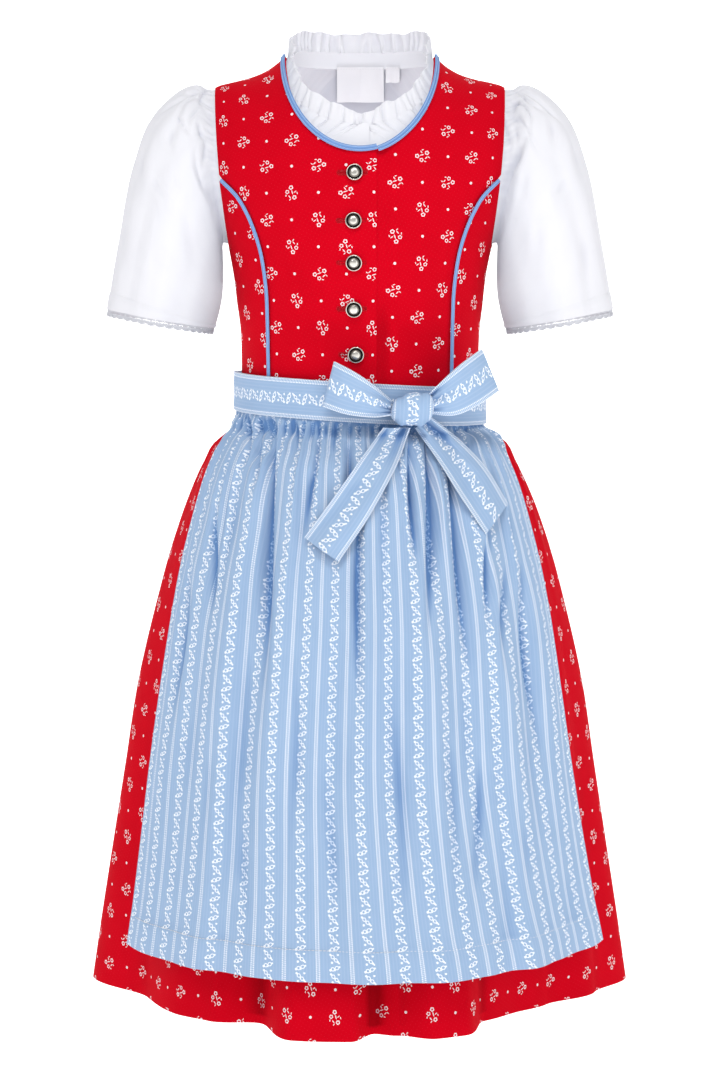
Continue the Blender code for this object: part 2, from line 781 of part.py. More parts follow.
# Ribbon tail hanging over the apron
def bow_tail(name, table):
    runs = np.linspace(0.0, 1.0, 10)
    rows = []
    for run in runs:
        row = []
        for share in np.linspace(0.0, 1.0, 6):
            left = np.array((column(table, run, 1), column(table, run, 2)))
            right = np.array((column(table, run, 3), column(table, run, 4)))
            x, z = left + (right - left) * share
            row.append((x, tail_depth(x, z) - 0.8 * math.sin(math.pi * (2.0 * share + 1.5 * run)), z))
        rows.append(row)
    outer = np.array(rows)
    normal = grid_normals(outer)
    normal = np.where(normal[..., 1:2] > 0.0, -normal, normal)
    inner = outer - normal * 0.9
    wall_solid(name, outer, inner, BLUE)


# Depth of a tail in front of the apron at a place seen from the front
def tail_depth(x, z):
    level = min(z, -246.0)
    angle = math.asin(x / 120.0)
    for _ in range(12):
        radius = float(ring_radius(APRON, np.array(angle), level, 2)) + 7.0
        angle = math.asin(max(-0.99, min(0.99, x / radius)))
    return min(-radius * math.cos(angle), wrap_front(x) - 2.5)


# Bow of the apron strings: two loops, two tails and the knot over them
def build_bow():
    bow_loop("bow_loop_left", LOOP_LEFT)
    bow_loop("bow_loop_right", LOOP_RIGHT)
    bow_tail("bow_tail_left", TAIL_LEFT)
    bow_tail("bow_tail_right", TAIL_RIGHT)
    rings, segments = 7, 14
    points = []
    for ring in range(rings):
        depth = -1.0 + 2.0 * ring / (rings - 1)
        size = (1.0 - abs(depth * 0.9) ** 3.0) ** (1.0 / 3.0)
        for step in range(segments):
            angle = 2.0 * math.pi * step / segments
            c, s = math.cos(angle), math.sin(angle)
            x = 32.4 + 11.5 * size * math.copysign(abs(c) ** 0.7, c)
            z = -228.8 + 11.6 * size * math.copysign(abs(s) ** 0.7, s)
            points.append(np.array((x, -88.25 - 8.0 * depth, z)))
    faces = [tuple(range(segments)), tuple(range((rings - 1) * segments, rings * segments))]
    for ring in range(rings - 1):
        for step in range(segments):
            follow = (step + 1) % segments
            a, b = ring * segments + step, ring * segments + follow
            faces.append((a, b, b + segments, a + segments))
    solid("bow_knot", points, faces, BLUE)


# Blouse neck seam from the middle to the shoulder on the front or back half
def blouse_neck(start_x, count, back=False):
    first = math.asin(start_x / 52.5)
    spots = []
    for angle in np.linspace(first, math.pi / 2, 40):
        x = 52.5 * math.sin(angle)
        z = 8.1 + math.cos(angle) * (-2.1 if back else -45.1)
        spots.append(torso_at(x, z, back))
    return respaced(spots, count)


# Sink of the gathered blouse: waves near the neck that fade lower down
def blouse_sink(point, across, up):
    middle = min(1.0, max(0.0, (38.0 - abs(point[0])) / 14.0))
    depth = BLOUSE_INSET + UNDERLAP_SINK * middle * middle * (3.0 - 2.0 * middle)
    if up < 0.55:
        return depth
    wave = 2.0 * ((across * 5.0) % 1.0) - 1.0
    return depth + 0.7 * abs(wave) * max(0.0, 1.0 - across * 1.3)


# Blouse fronts and back under the bodice, seen at the neck and inside the armholes
def build_blouse():
    low = -150.0
    arm_front = shifted(armhole_line(CHEST_Z + 0.5, 9), 4.6)
    arm_back = shifted(armhole_line(CHEST_Z + 0.5, 12, True), -4.6)
    middle = [torso_at(0.25, z) for z in np.linspace(low, -37.0, 5)]
    neck = np.concatenate((middle, blouse_neck(0.25, 9)[1:]))
    side = [(math.pi / 2 - 0.002, (z - CHEST_Z) / TORSO_SCALE) for z in np.linspace(low, CHEST_Z, 4)]
    arm = np.concatenate((side, [(math.pi / 2 - 0.002, 0.02)], arm_front[1:]))
    outer, inner = torso_wall(neck, arm, 10, BLOUSE_WALL, blouse_sink)
    wall_solid("blouse_front_left", outer, inner, WHITE)
    outer, inner = torso_wall(mirrored(arm), mirrored(neck), 10, BLOUSE_WALL, mirrored_sink)
    wall_solid("blouse_front_right", outer, inner, WHITE)
    middle = [torso_at(0.0, z, True) for z in (low, -115.0, -82.0, -54.0, -31.0, -12.0, 6.0)]
    neck = np.concatenate((middle, blouse_neck(0.0, 9, True)[1:]))
    side = [(math.pi / 2 + 0.002, (z - CHEST_Z) / TORSO_SCALE) for z in np.linspace(low, CHEST_Z, 3)]
    arm = np.concatenate((side, [(math.pi / 2 + 0.002, 0.02)], arm_back[1:]))
    far_arm = np.array([(2.0 * math.pi - turn, lift) for turn, lift in arm])
    far_neck = np.array([(2.0 * math.pi - turn, lift) for turn, lift in neck])
    plain = lambda point, across, up: BLOUSE_INSET
    near = torso_wall(arm, neck, 5, BLOUSE_WALL, plain)
    far = torso_wall(far_neck, far_arm, 5, BLOUSE_WALL, plain)
    joined_solid("blouse_back", near, far, 6, WHITE)


# The same waves counted from the other edge of the mirrored front
def mirrored_sink(point, across, up):
    return blouse_sink(point, 1.0 - across, up)


# Closed loop of the blouse neck with its outward and upward directions
def neck_loop(count):
    front = blouse_neck(0.0, 40)
    back = blouse_neck(0.0, 40, True)
    spots = np.concatenate((front, back[::-1][1:], mirrored(back)[1:-1], mirrored(front)[::-1][:-1]))
    points = []
    for turn, lift in spots:
        points.append(torso(turn, lift) - torso_normal(turn, lift) * (BLOUSE_INSET + 0.5 * BLOUSE_WALL))
    points = np.array(points)
    ring = np.concatenate((points, points[:1]))
    run = np.concatenate(([0.0], np.cumsum(np.linalg.norm(np.diff(ring, axis=0), axis=1))))
    want = np.arange(count) / count * run[-1]
    loop = np.stack([np.interp(want, run, ring[:, k]) for k in range(3)], axis=1)
    for _ in range(3):
        loop = 0.5 * loop + 0.25 * (np.roll(loop, 1, axis=0) + np.roll(loop, -1, axis=0))
    outward = loop - np.array((0.0, -14.0, 0.0))
    outward[:, 2] = 0.0
    outward /= np.linalg.norm(outward, axis=1, keepdims=True)
    return loop, outward


# Neckband above the blouse neck and the gathered frill standing on it
def build_neck():
    loop, outward = neck_loop(40)
    back = np.clip((loop[:, 1] + 20.0) / 50.0, 0.0, 1.0)
    height = 3.0 + 4.5 * back
    up = np.array((0.0, 0.0, 1.0))
    low = loop + up * 1.6
    top = low + up * height[:, None]
    outer = np.array((low + outward * 0.6, top + outward * 0.6))
    inner = np.array((low - outward * 0.6, top - outward * 0.6))
    wall_solid("neckband", outer, inner, WHITE, True)
    count = 2 * RUFFLE_WAVES
    loop, outward = neck_loop(count + 4)
    loop, outward = loop[2:-1], outward[2:-1]
    share = np.linspace(0.0, 1.0, len(loop))
    back = np.clip((loop[:, 1] + 20.0) / 50.0, 0.0, 1.0)
    seam = loop + up * (1.6 + 3.0 + 4.5 * back + 1.4)[:, None]
    tall = 8.0 + 3.5 * back
    tall = tall * np.clip(0.45 + 14.0 * np.minimum(share, 1.0 - share), 0.0, 1.0)
    wave = np.abs(2.0 * np.mod(share * RUFFLE_WAVES, 1.0) - 1.0) - 0.5
    rows = []
    for step in (0.0, 0.45, 1.0):
        lean = (0.34 - 0.22 * back) * tall * step
        shift = lean + 4.2 * wave * step ** 0.7
        rows.append(seam + up * (tall * step)[:, None] + outward * shift[:, None])
    outer = np.array(rows)
    normal = grid_normals(outer)
    normal = np.where(np.sum(normal * outward[None], axis=2, keepdims=True) < 0, -normal, normal)
    wall_solid("neck_ruffle", outer + normal * 0.4, outer - normal * 0.4, WHITE)


# Bare woven tapes hanging inside the back of the neck
def build_labels():
    for name, left, right, low in (("neck_label", -17.5, 18.0, -17.0), ("size_tab", 20.0, 30.5, -3.0)):
        rows = []
        for z in np.linspace(low, 7.5, 4):
            row = []
            for x in np.linspace(left, right, 5):
                turn, lift = torso_at(x, z, True)
                normal = torso_normal(turn, lift)
                row.append(torso(turn, lift) - normal * (BLOUSE_INSET + BLOUSE_WALL + 2.2))
            rows.append(row)
        outer = np.array(rows)
        normal = grid_normals(outer)
        normal = np.where(normal[..., 1:2] < 0.0, -normal, normal)
        wall_solid(name, outer, outer - normal * 0.5, LABEL)


# Start of the sleeve: a ring just outside the blouse edge and inside the bodice's armhole
def sleeve_start(count, moved, raised):
    front = shifted(armhole_line(CHEST_Z + 0.5, 24), moved)
    back = shifted(armhole_line(CHEST_Z + 0.5, 24, True), -moved)
    spots = np.concatenate((front[::-1], back[1:-1]))
    points = []
    for turn, lift in spots:
        points.append(torso(turn, lift) + torso_normal(turn, lift) * raised)
    ring = np.array(points + points[:1])
    run = np.concatenate(([0.0], np.cumsum(np.linalg.norm(np.diff(ring, axis=0), axis=1))))
    want = np.mod(sleeve_shares(count), 1.0) * run[-1]
    return np.stack([np.interp(want, run, ring[:, k]) for k in range(3)], axis=1)


# Ring positions of the sleeve columns, closer over the gathered cap
def sleeve_shares(count):
    even = np.arange(count) / count
    return even - 0.07 * np.sin(2.0 * math.pi * even)


# Puff sleeves with a few cap gathers and the lace band at the hem
def build_sleeves():
    count = 26
    shares = sleeve_shares(count)
    angles = 2.0 * math.pi * shares
    start = sleeve_start(count, 2.9, -1.45)
    second = sleeve_start(count, 3.1, 0.5)
    rings = [start, second]
    for row in SLEEVE:
        top, low = np.array((row[0], 0.0, row[1])), np.array((row[2], 0.0, row[3]))
        centre = 0.5 * (top + low)
        ring = centre + 0.5 * (top - low) * np.cos(angles)[:, None]
        ring[:, 1] = -row[4] * np.sin(angles)
        if row[5]:
            part = (start[:, 2:] - start[:, 2].min()) / np.ptp(start[:, 2])
            own = start + part * (top - start[0]) + (1.0 - part) * (low - start[start[:, 2].argmin()])
            ring = ring * (1.0 - row[5]) + own * row[5]
        rings.append(ring)
    rings = np.array(rings)
    cap = np.clip(np.cos(angles), 0.0, 1.0)
    wave = np.cos(math.pi * np.arange(count)) * cap
    for index, size in ((2, 0.5), (3, 0.8), (4, 0.6), (5, 0.3)):
        rings[index] += (wave * size)[:, None] * np.stack((0.3 * np.cos(angles), -np.sin(angles), np.cos(angles)), axis=1)
    normal = grid_normals(rings, True)
    middle = rings.mean(axis=1, keepdims=True)
    flip = np.sign(np.sum(normal * (rings - middle)))
    inner = rings - flip * normal * BLOUSE_WALL
    along = (rings[-1] - rings[-2]).mean(axis=0)
    along /= np.linalg.norm(along)
    centre = rings[-1].mean(axis=0)
    hem = rings[-1] + along * 0.35
    top = centre + along * 0.35 + (hem - centre - along * 0.35) * 0.998
    low = top + along * 4.6
    outward = (rings[-1] - centre) / np.linalg.norm(rings[-1] - centre, axis=1, keepdims=True)
    for side, sign in (("left", 1.0), ("right", -1.0)):
        flipped = np.array((sign, 1.0, 1.0))
        wall_solid("sleeve_" + side, rings * flipped, inner * flipped, WHITE, True)
        lace_outer = np.array((top, low)) * flipped
        lace_inner = np.array((top - outward * 0.9, low - outward * 0.9)) * flipped
        wall_solid("lace_" + side, lace_outer, lace_inner, WHITE, True)


# Clear the scene and build every piece
def main():
    for old in list(bpy.data.objects):
        bpy.data.objects.remove(old, do_unlink=True)
    build_bodice()
    build_piping()
    build_buttons()
    build_skirt()
    build_apron()
    build_band()
    build_bow()
    build_blouse()
    build_neck()
    build_labels()
    build_sleeves()


main()
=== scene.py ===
# %% [markdown]
# A child's dirndl set in cotton: a red printed dress with a buttoned bodice and a gathered
# skirt, a light blue striped apron tied in a bow, and a white puff-sleeved blouse.
# It is shown filled out as if worn, with nobody in it, so every piece is a thin shell of
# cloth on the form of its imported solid. The frame gives the places; this script gives the looks.

# %% Load the frame
import json
import math

import bmesh
import bpy
import mathutils
import numpy as np
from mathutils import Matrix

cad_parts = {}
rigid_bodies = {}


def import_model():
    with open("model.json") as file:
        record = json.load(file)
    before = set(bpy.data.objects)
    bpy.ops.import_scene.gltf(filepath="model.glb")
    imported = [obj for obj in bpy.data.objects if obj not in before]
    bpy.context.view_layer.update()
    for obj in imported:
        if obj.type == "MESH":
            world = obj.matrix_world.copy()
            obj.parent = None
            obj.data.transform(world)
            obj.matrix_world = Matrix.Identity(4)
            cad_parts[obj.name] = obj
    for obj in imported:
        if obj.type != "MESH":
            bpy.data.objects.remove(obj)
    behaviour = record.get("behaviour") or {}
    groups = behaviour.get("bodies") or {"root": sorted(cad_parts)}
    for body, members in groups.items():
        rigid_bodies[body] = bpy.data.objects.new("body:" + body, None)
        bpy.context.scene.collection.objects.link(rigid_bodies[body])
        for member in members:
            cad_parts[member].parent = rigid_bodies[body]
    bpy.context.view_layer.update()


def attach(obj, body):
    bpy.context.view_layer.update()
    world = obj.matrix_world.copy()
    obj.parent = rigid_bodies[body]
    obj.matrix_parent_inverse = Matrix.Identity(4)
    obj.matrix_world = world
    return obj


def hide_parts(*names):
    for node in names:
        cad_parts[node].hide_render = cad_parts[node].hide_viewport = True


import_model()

# %% [markdown]
# Cloth is measured in millimetres on a cutting table, so the sizes below are millimetres and
# one factor turns them into Blender's metres. The origin lies between the shoulders, +Z is up
# and the front faces -Y. The rings repeat the solids' own sizes, because the shells lie on them.

# %% Sizes of the body of the dress
MM = 0.001
CHEST_Z = -122.0
WAIST_Z = -224.0
HEM_Z = -636.7
TORSO_SCALE = 130.0
ARM_FLARE = 21.0
NECK_HALF = 51.4
NECK_TOP = 9.1
NECK_DROP = 64.7
NECK_STEP = 1.9
BACK_NECK_DROP = 28.5
SHOULDER_LIFT = math.pi / 2 - 0.0024
BODICE_WALL = 1.2
SKIRT_WALL = 0.9
APRON_WALL = 0.8
BLOUSE_WALL = 0.7
BLOUSE_INSET = 3.4
SEAM_GAP = 0.3
CLOSURE_X = 11.0
UNDERLAP_X = -10.0
UNDERLAP_SINK = 2.4
BAND_HEIGHT = 27.0
BAND_OUT = 3.8
WRAP_OUT = 5.3
APRON_HEM_Z = -595.5
SIDE_TURN = math.pi / 2
SIDE_GAP = 0.002
SIDES = (("left", 1.0), ("right", -1.0))
UP = np.array((0.0, 0.0, 1.0))
print("chest level", CHEST_Z, "mm, waist", WAIST_Z, "mm, hem", HEM_Z, "mm")

# %% Outlines of the body
def table(*rows):
    """Rows of numbers: the first column is looked up, the others are read off."""
    return np.array(rows, float)


# height, half width, front depth, back depth
TORSO = table(
    (-246, 82.8, 78, 72), (-208, 82.4, 77.5, 71.5), (-194, 82.4, 78, 72), (-177, 83, 79.5, 73),
    (-161, 85, 82.5, 74.5), (-144, 87, 85.5, 76), (-122, 91, 88, 78),
)

# distance from the centre, height of the shoulder line
SHOULDER = table(
    (0, 40), (20, 36), (35, 25.5), (45, 15.5), (55, 5.5), (101, -12.4), (112, -16.5),
)

# height, half width of the bodice at the armhole
ARMHOLE = table(
    (-122, 91), (-111, 92.1), (-94.6, 93.7), (-78.2, 95.5), (-61.7, 97), (-45.3, 98.3),
    (-28.9, 99.1), (-12, 99.6),
)

# height, distance of the curved front seam from the centre
FRONT_SEAM = table(
    (-224, 61), (-190, 61.5), (-170, 61.8), (-151, 62.4), (-136.6, 64), (-123, 66.5),
    (-111, 70.2), (-98.6, 75.5), (-87, 82.6), (-76.5, 93.2),
)

# angle from the front, height of the apron band's top edge
BAND_TOP = table(
    (-90, -206.6), (-28, -209.2), (8, -212), (40, -214.6), (90, -217),
)
print("torso levels", len(TORSO), "from", TORSO[0, 0], "to", TORSO[-1, 0], "mm")

# %% Soft steps and smooth curves
def ease(part):
    """Soft start and stop between 0 and 1."""
    part = np.clip(part, 0.0, 1.0)
    return part * part * (3.0 - 2.0 * part)


def curve_through(rows, at, index, flat=False):
    """Smooth curve through one column of a table; flat makes every row a peak or a valley."""
    keys, values = rows[:, 0], rows[:, index]
    slopes = np.zeros_like(values) if flat else np.gradient(values, keys)
    at = np.clip(at, keys[0], keys[-1])
    spot = np.clip(np.searchsorted(keys, at, side="right") - 1, 0, len(keys) - 2)
    gap = keys[spot + 1] - keys[spot]
    part = (at - keys[spot]) / gap
    blend = ease(part)
    ends = values[spot] * (1.0 - blend) + values[spot + 1] * blend
    start = slopes[spot] * gap * part * (1.0 - part) ** 2
    stop = slopes[spot + 1] * gap * part ** 2 * (1.0 - part)
    return ends + start - stop


def ramp(count):
    """Even steps from 0 to 1."""
    return np.linspace(0.0, 1.0, count)


def run_along(path):
    """Distance run along a path at each of its points."""
    return np.concatenate(([0.0], np.cumsum(np.linalg.norm(np.diff(path, axis=0), axis=1))))


def runs_across(grid):
    """Distance run along each row of a grid."""
    steps = np.linalg.norm(np.diff(grid, axis=1), axis=2)
    return np.concatenate((np.zeros((len(grid), 1)), np.cumsum(steps, axis=1)), axis=1)


def places_at(want, run, path):
    """Points of a path at the wanted distances."""
    return np.stack([np.interp(want, run, path[:, k]) for k in range(path.shape[1])], axis=1)


def closed_ring(points):
    return np.concatenate((points, points[:1]))


def unit(vectors):
    return vectors / np.linalg.norm(vectors, axis=-1, keepdims=True)

print("shoulder at the neck", round(float(curve_through(SHOULDER, NECK_HALF, 1)), 1), "mm")

# %% [markdown]
# The bodice is cut to a general figure: oval rings up to the chest, then quarter ovals that
# close on the shoulder line. One function gives a point from two numbers, how far round it is
# and how far up, so panels, piping, buttons and blouse all lie on the same smooth surface.

# %% The surface of the bodice
def rise(x):
    return curve_through(SHOULDER, np.abs(x), 1) - CHEST_Z


def flare(up):
    """How much wider the body is towards the arms, above the chest."""
    return ARM_FLARE * np.sin(2.0 * np.minimum(up, math.pi / 4))


def torso(turn, lift):
    turn, lift = np.broadcast_arrays(np.asarray(turn, float), np.asarray(lift, float))
    level = CHEST_Z + TORSO_SCALE * np.minimum(lift, 0.0)
    front, back = curve_through(TORSO, level, 2), curve_through(TORSO, level, 3)
    depth = np.where(np.cos(turn) >= 0.0, front, back)
    up = np.maximum(lift, 0.0)
    x = (curve_through(TORSO, level, 1) + flare(up)) * np.sin(turn)
    y = -depth * np.cos(turn) * np.cos(up)
    z = level + rise(x) * np.sin(up)
    return np.stack((x, y, z), axis=-1)


def torso_at(x, z, back=False):
    """Turn and lift of a place given as it is seen from the front."""
    x, z = np.broadcast_arrays(np.asarray(x, float), np.asarray(z, float))
    up = np.arcsin(np.clip((z - CHEST_Z) / rise(x), 0.0, 1.0))
    lift = np.where(z < CHEST_Z, (z - CHEST_Z) / TORSO_SCALE, np.minimum(up, SHOULDER_LIFT))
    half = curve_through(TORSO, np.minimum(z, CHEST_Z), 1) + flare(up)
    turn = np.arcsin(np.clip(x / half, -1.0, 1.0))
    if back:
        turn = math.pi - turn
    return np.stack((turn, lift), axis=-1)


def torso_normal(turn, lift):
    step = 0.006
    across = torso(turn + step, lift) - torso(turn - step, lift)
    upward = torso(turn, lift + step) - torso(turn, lift - step)
    return unit(np.cross(across, upward))


def on_body(spots):
    """Points and outward normals of places given by turn and lift."""
    return torso(spots[..., 0], spots[..., 1]), torso_normal(spots[..., 0], spots[..., 1])

print("shoulder tip", np.round(torso(*torso_at(99.6, -11.8)), 1))

# %% Lines on the bodice
def respaced(line, count):
    """The same line of turns and lifts with evenly spaced positions."""
    run = run_along(torso(line[:, 0], line[:, 1]))
    return places_at(ramp(count) * run[-1], run, line)


def shifted(line, distance):
    """The line moved sideways on the surface, positive to the right of its run."""
    points, normal = on_body(line)
    side = np.cross(np.gradient(points, axis=0), normal)
    side *= np.reshape(distance, (-1, 1)) / np.linalg.norm(side, axis=1, keepdims=True)
    step = 0.002
    moved = line.copy()
    for spot, (turn, lift) in enumerate(line):
        across = (torso(turn + step, lift) - torso(turn - step, lift)) / (2.0 * step)
        upward = (torso(turn, lift + step) - torso(turn, lift - step)) / (2.0 * step)
        ways = np.stack((across, upward), axis=1)
        moved[spot] += np.linalg.lstsq(ways, side[spot], rcond=None)[0]
    moved[:, 1] = np.minimum(moved[:, 1], SHOULDER_LIFT)
    return moved


def mirrored(line):
    return line * (-1.0, 1.0)


def round_back(line):
    return np.stack((math.tau - line[:, 0], line[:, 1]), axis=1)


def armhole_line(low, count, back=False):
    heights = low + (-11.8 - low) * ramp(120)
    return respaced(torso_at(curve_through(ARMHOLE, heights, 1), heights, back), count)


def oval_line(half, top, drop, count, start=0.0, back=False, step=0.0):
    """Oval neckline from beside the middle to the shoulder; step is how much lower it starts."""
    angles = np.linspace(math.asin(start / half), math.pi / 2, 160)
    fall = drop * np.cos(angles) + step * np.cos(angles) ** 6
    return respaced(torso_at(half * np.sin(angles), top - fall, back), count)


def neck_line(start, count, step=0.0):
    return oval_line(NECK_HALF, NECK_TOP, NECK_DROP, count, start, step=step)


def back_neck_line(count):
    return oval_line(NECK_HALF, NECK_TOP, BACK_NECK_DROP, count, back=True)


def front_seam(count):
    heights = np.linspace(WAIST_Z, -76.5, 120)
    return respaced(torso_at(curve_through(FRONT_SEAM, heights, 1), heights), count)

print("front neckline", round(float(run_along(torso(*neck_line(0.0, 60).T))[-1])), "mm a side")

# %% [markdown]
# Every cloth piece is a thin closed wall: an outer grid of points, an inner grid under it, and
# rims between them. The grid also carries the flat cut as a UV map in metres, so the woven
# stripes and the print keep their real size and gather where the cloth gathers.

# %% Turn two grids into a wall of cloth
def wall_corners(rows, columns, closed, open_first, open_last):
    """Corners of the wall's faces as (row, column, layer), layer 1 being the inner side."""
    spots = np.meshgrid(np.arange(rows), np.arange(columns + int(closed)), indexing="ij")
    grid = np.stack(spots, axis=-1)
    a, b, c, d = grid[:-1, :-1], grid[:-1, 1:], grid[1:, 1:], grid[1:, :-1]
    faces = [(a, b, c, d, 0, 0, 0, 0), (a, d, c, b, 1, 1, 1, 1)]
    faces.append((grid[0, :-1], grid[0, :-1], grid[0, 1:], grid[0, 1:], 0, 1, 1, 0))
    faces.append((grid[-1, :-1], grid[-1, 1:], grid[-1, 1:], grid[-1, :-1], 0, 0, 1, 1))
    if not closed:
        first, last = grid[open_first:, 0], grid[open_last:, -1]
        faces.append((first[:-1], first[1:], first[1:], first[:-1], 0, 0, 1, 1))
        faces.append((last[:-1], last[:-1], last[1:], last[1:], 0, 1, 1, 0))
    corners = []
    for face in faces:
        places = np.stack([place.reshape(-1, 2) for place in face[:4]], axis=1)
        layers = np.broadcast_to(np.array(face[4:])[None, :, None], places.shape[:2] + (1,))
        corners.append(np.concatenate((places, layers), axis=2))
    return np.concatenate(corners)

print("corners of one small wall", len(wall_corners(3, 3, False, 0, 0)))

# %% Mark how deep each fold is
FOLD_ROUNDS, FOLD_LIMIT = 34, 4.0


def mark_folds(mesh):
    """Store as fold how many millimetres each point lies below its smoothed place; the materials
    paint crease shade from it.
    """
    count = len(mesh.vertices)
    points, normals = np.empty(3 * count), np.empty(3 * count)
    ends = np.empty(2 * len(mesh.edges), dtype=np.int32)
    mesh.vertices.foreach_get("co", points)
    mesh.vertices.foreach_get("normal", normals)
    mesh.edges.foreach_get("vertices", ends)
    points, normals = points.reshape(-1, 3) / MM, normals.reshape(-1, 3)
    first, second = ends[0::2], ends[1::2]
    degree = np.bincount(ends, minlength=count)[:, None]
    soft = points
    for _ in range(FOLD_ROUNDS):
        total = [np.bincount(first, soft[second, k], count)
                 + np.bincount(second, soft[first, k], count) for k in range(3)]
        soft = np.stack(total, axis=1) / degree
    hollow = np.clip(np.sum((soft - points) * normals, axis=1), -FOLD_LIMIT, FOLD_LIMIT)
    fold = mesh.attributes.new("fold", "FLOAT", "POINT")
    fold.data.foreach_set("value", hollow.astype(np.float32))

print("smoothing rounds", FOLD_ROUNDS)

# %% Sew a wall and let it stand for its solid
def flat_uv(u, v):
    """Flat places across and along the cut, in millimetres."""
    return np.stack(np.broadcast_arrays(u, v), axis=-1)


def new_mesh(name, points, faces):
    """Mesh from points in millimetres, with a layer for its flat cut."""
    mesh = bpy.data.meshes.new(name)
    mesh.from_pydata((points * MM).tolist(), [], faces)
    return mesh, mesh.uv_layers.new(name="cut")


def reworked(mesh, change):
    work = bmesh.new()
    work.from_mesh(mesh)
    change(work)
    work.to_mesh(mesh)
    work.free()


def link_piece(name, mesh, made, sharp=None, turned=False):
    """Finish a mesh: faces outward, smooth shading, material, and an object in the scene."""
    if turned:
        reworked(mesh, lambda work: bmesh.ops.recalc_face_normals(work, faces=work.faces))
    mesh.polygons.foreach_set("use_smooth", [True] * len(mesh.polygons))
    if sharp:
        mesh.set_sharp_from_angle(angle=math.radians(sharp))
    mesh.materials.append(made)
    piece = bpy.data.objects.new(name, mesh)
    bpy.context.collection.objects.link(piece)
    return piece


def cloth_mesh(name, walls, made, closed=False, joined=0):
    """Mesh object of one wall, or of two that meet up to a row, from (outer, inner, uv) grids."""
    points, faces, spots = [], [], []
    base = 0
    for side, (outer, inner, uv) in enumerate(walls):
        rows, columns = outer.shape[:2]
        open_first = joined if side == 1 else 0
        open_last = joined if side == 0 and len(walls) == 2 else 0
        corners = wall_corners(rows, columns, closed, open_first, open_last)
        row, column, layer = corners[..., 0], corners[..., 1], corners[..., 2]
        number = base + layer * rows * columns + row * columns + column % columns
        middle = (slice(rows // 2, rows // 2 + 2), slice(columns // 2, columns // 2 + 2))
        (a, b), (d, _) = outer[middle]
        if np.dot(np.cross(b - a, d - a), a - inner[rows // 2, columns // 2]) < 0.0:
            number, row, column = number[:, ::-1], row[:, ::-1], column[:, ::-1]
        points += [outer.reshape(-1, 3), inner.reshape(-1, 3)]
        faces.append(number)
        spots.append(uv[row, column])
        base += 2 * rows * columns
    mesh, layer = new_mesh(name, np.concatenate(points), np.concatenate(faces).tolist())
    flat = (np.concatenate(spots).reshape(-1, 2) * MM).astype(np.float32)
    layer.data.foreach_set("uv", flat.ravel())
    if joined:
        weld = 0.004 * MM
        reworked(mesh, lambda work: bmesh.ops.remove_doubles(work, verts=work.verts, dist=weld))
    mark_folds(mesh)
    return link_piece(name, mesh, made, 50.0)


def carry(piece):
    """The piece rides with the one body, and its triangles are counted."""
    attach(piece, "root")
    triangles = sum(len(face.vertices) - 2 for face in piece.data.polygons)
    print(piece.name, triangles, "triangles")


def stand_for(piece, node):
    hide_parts(node)
    carry(piece)
    return piece


def sew(node, walls, cloth, closed=False, joined=0, name=None):
    """The cloth shell of a node, made of a material, in place of its solid; the slot in cloth is
    not used.
    """
    made, slot = cloth
    piece = cloth_mesh(name or node + "_cloth", walls, made, closed, joined)
    return stand_for(piece, node)


def grid_normals(grid, closed=False):
    """Unit normals of a grid, turned away from the upright axis of the body."""
    if closed:
        across = np.roll(grid, -1, axis=1) - np.roll(grid, 1, axis=1)
    else:
        across = np.gradient(grid, axis=1)
    normal = unit(np.cross(across, np.gradient(grid, axis=0)))
    away = np.sum(normal * grid * (1.0, 1.0, 0.0)) < 0.0
    return -normal if away else normal


def wall_of(outer, thickness):
    """Outer grid and the inner grid under it, with level edges kept level."""
    inner = outer - grid_normals(outer) * np.asarray(thickness)[..., None]
    inner[0, :, 2] = outer[0, :, 2]
    inner[-1, :, 2] = outer[-1, :, 2]
    return outer, inner


# %% [markdown]
# Colours are picked as sRGB hex values, as they look on a screen, while Blender's shaders work
# in linear light, so one function converts them. One more function adds a shader node, sets its
# options and plugs in its inputs, which keeps each material a short list of steps.

# %% Colour and node helpers
def linear(code):
    """An sRGB colour such as #808080 in linear light, with full opacity."""
    channels = [int(code[start:start + 2], 16) / 255.0 for start in (1, 3, 5)]
    light = [c / 12.92 if c <= 0.04045 else ((c + 0.055) / 1.055) ** 2.4 for c in channels]
    return tuple(light) + (1.0,)


def add(tree, kind, inputs=(), out=0, **settings):
    """Add a node; its operation follows the kind, and a text input is a colour."""
    kind, *operation = kind.split()
    made = tree.nodes.new("ShaderNode" + kind)
    if operation:
        made.operation = operation[0]
    for key, value in settings.items():
        setattr(made, key, value)
    for key, value in inputs.items() if isinstance(inputs, dict) else enumerate(inputs):
        if isinstance(value, bpy.types.NodeSocket):
            tree.links.new(value, made.inputs[key])
        else:
            made.inputs[key].default_value = linear(value) if isinstance(value, str) else value
    return made.outputs[out]


# settings for a mix of two colours: input 0 is the share, 6 and 7 are the colours
COLOUR = {"out": 2, "data_type": "RGBA"}
print("middle grey in linear light", round(linear("#808080")[0], 3))

# %% Material helpers
def new_material(name, roughness, sheen=0.0, metallic=0.0):
    """Matt cloth has hardly any mirror reflection; metal keeps the default."""
    made = bpy.data.materials.new(name)
    made.use_nodes = True
    shader = made.node_tree.nodes["Principled BSDF"]
    finish = {"Roughness": roughness, "Metallic": metallic, "Sheen Weight": sheen,
              "Specular IOR Level": 0.5 if metallic else 0.04, "Sheen Roughness": 0.5}
    for key, value in finish.items():
        shader.inputs[key].default_value = value
    return made, made.node_tree, shader


def painted_crease_shade(tree, paint, shade_tint, full):
    """Painted shade: the paint turns darker towards the bottom of a crease, by the tint, full at so
    many millimetres.
    """
    fold = add(tree, "Attribute", out="Fac", attribute_name="fold")
    share = add(tree, "MapRange", {"Value": fold, "From Min": 0.05 * full, "From Max": full})
    colours = {0: share, 6: paint, 7: shade_tint + (1.0,)}
    return add(tree, "Mix", colours, **COLOUR, blend_type="MULTIPLY")


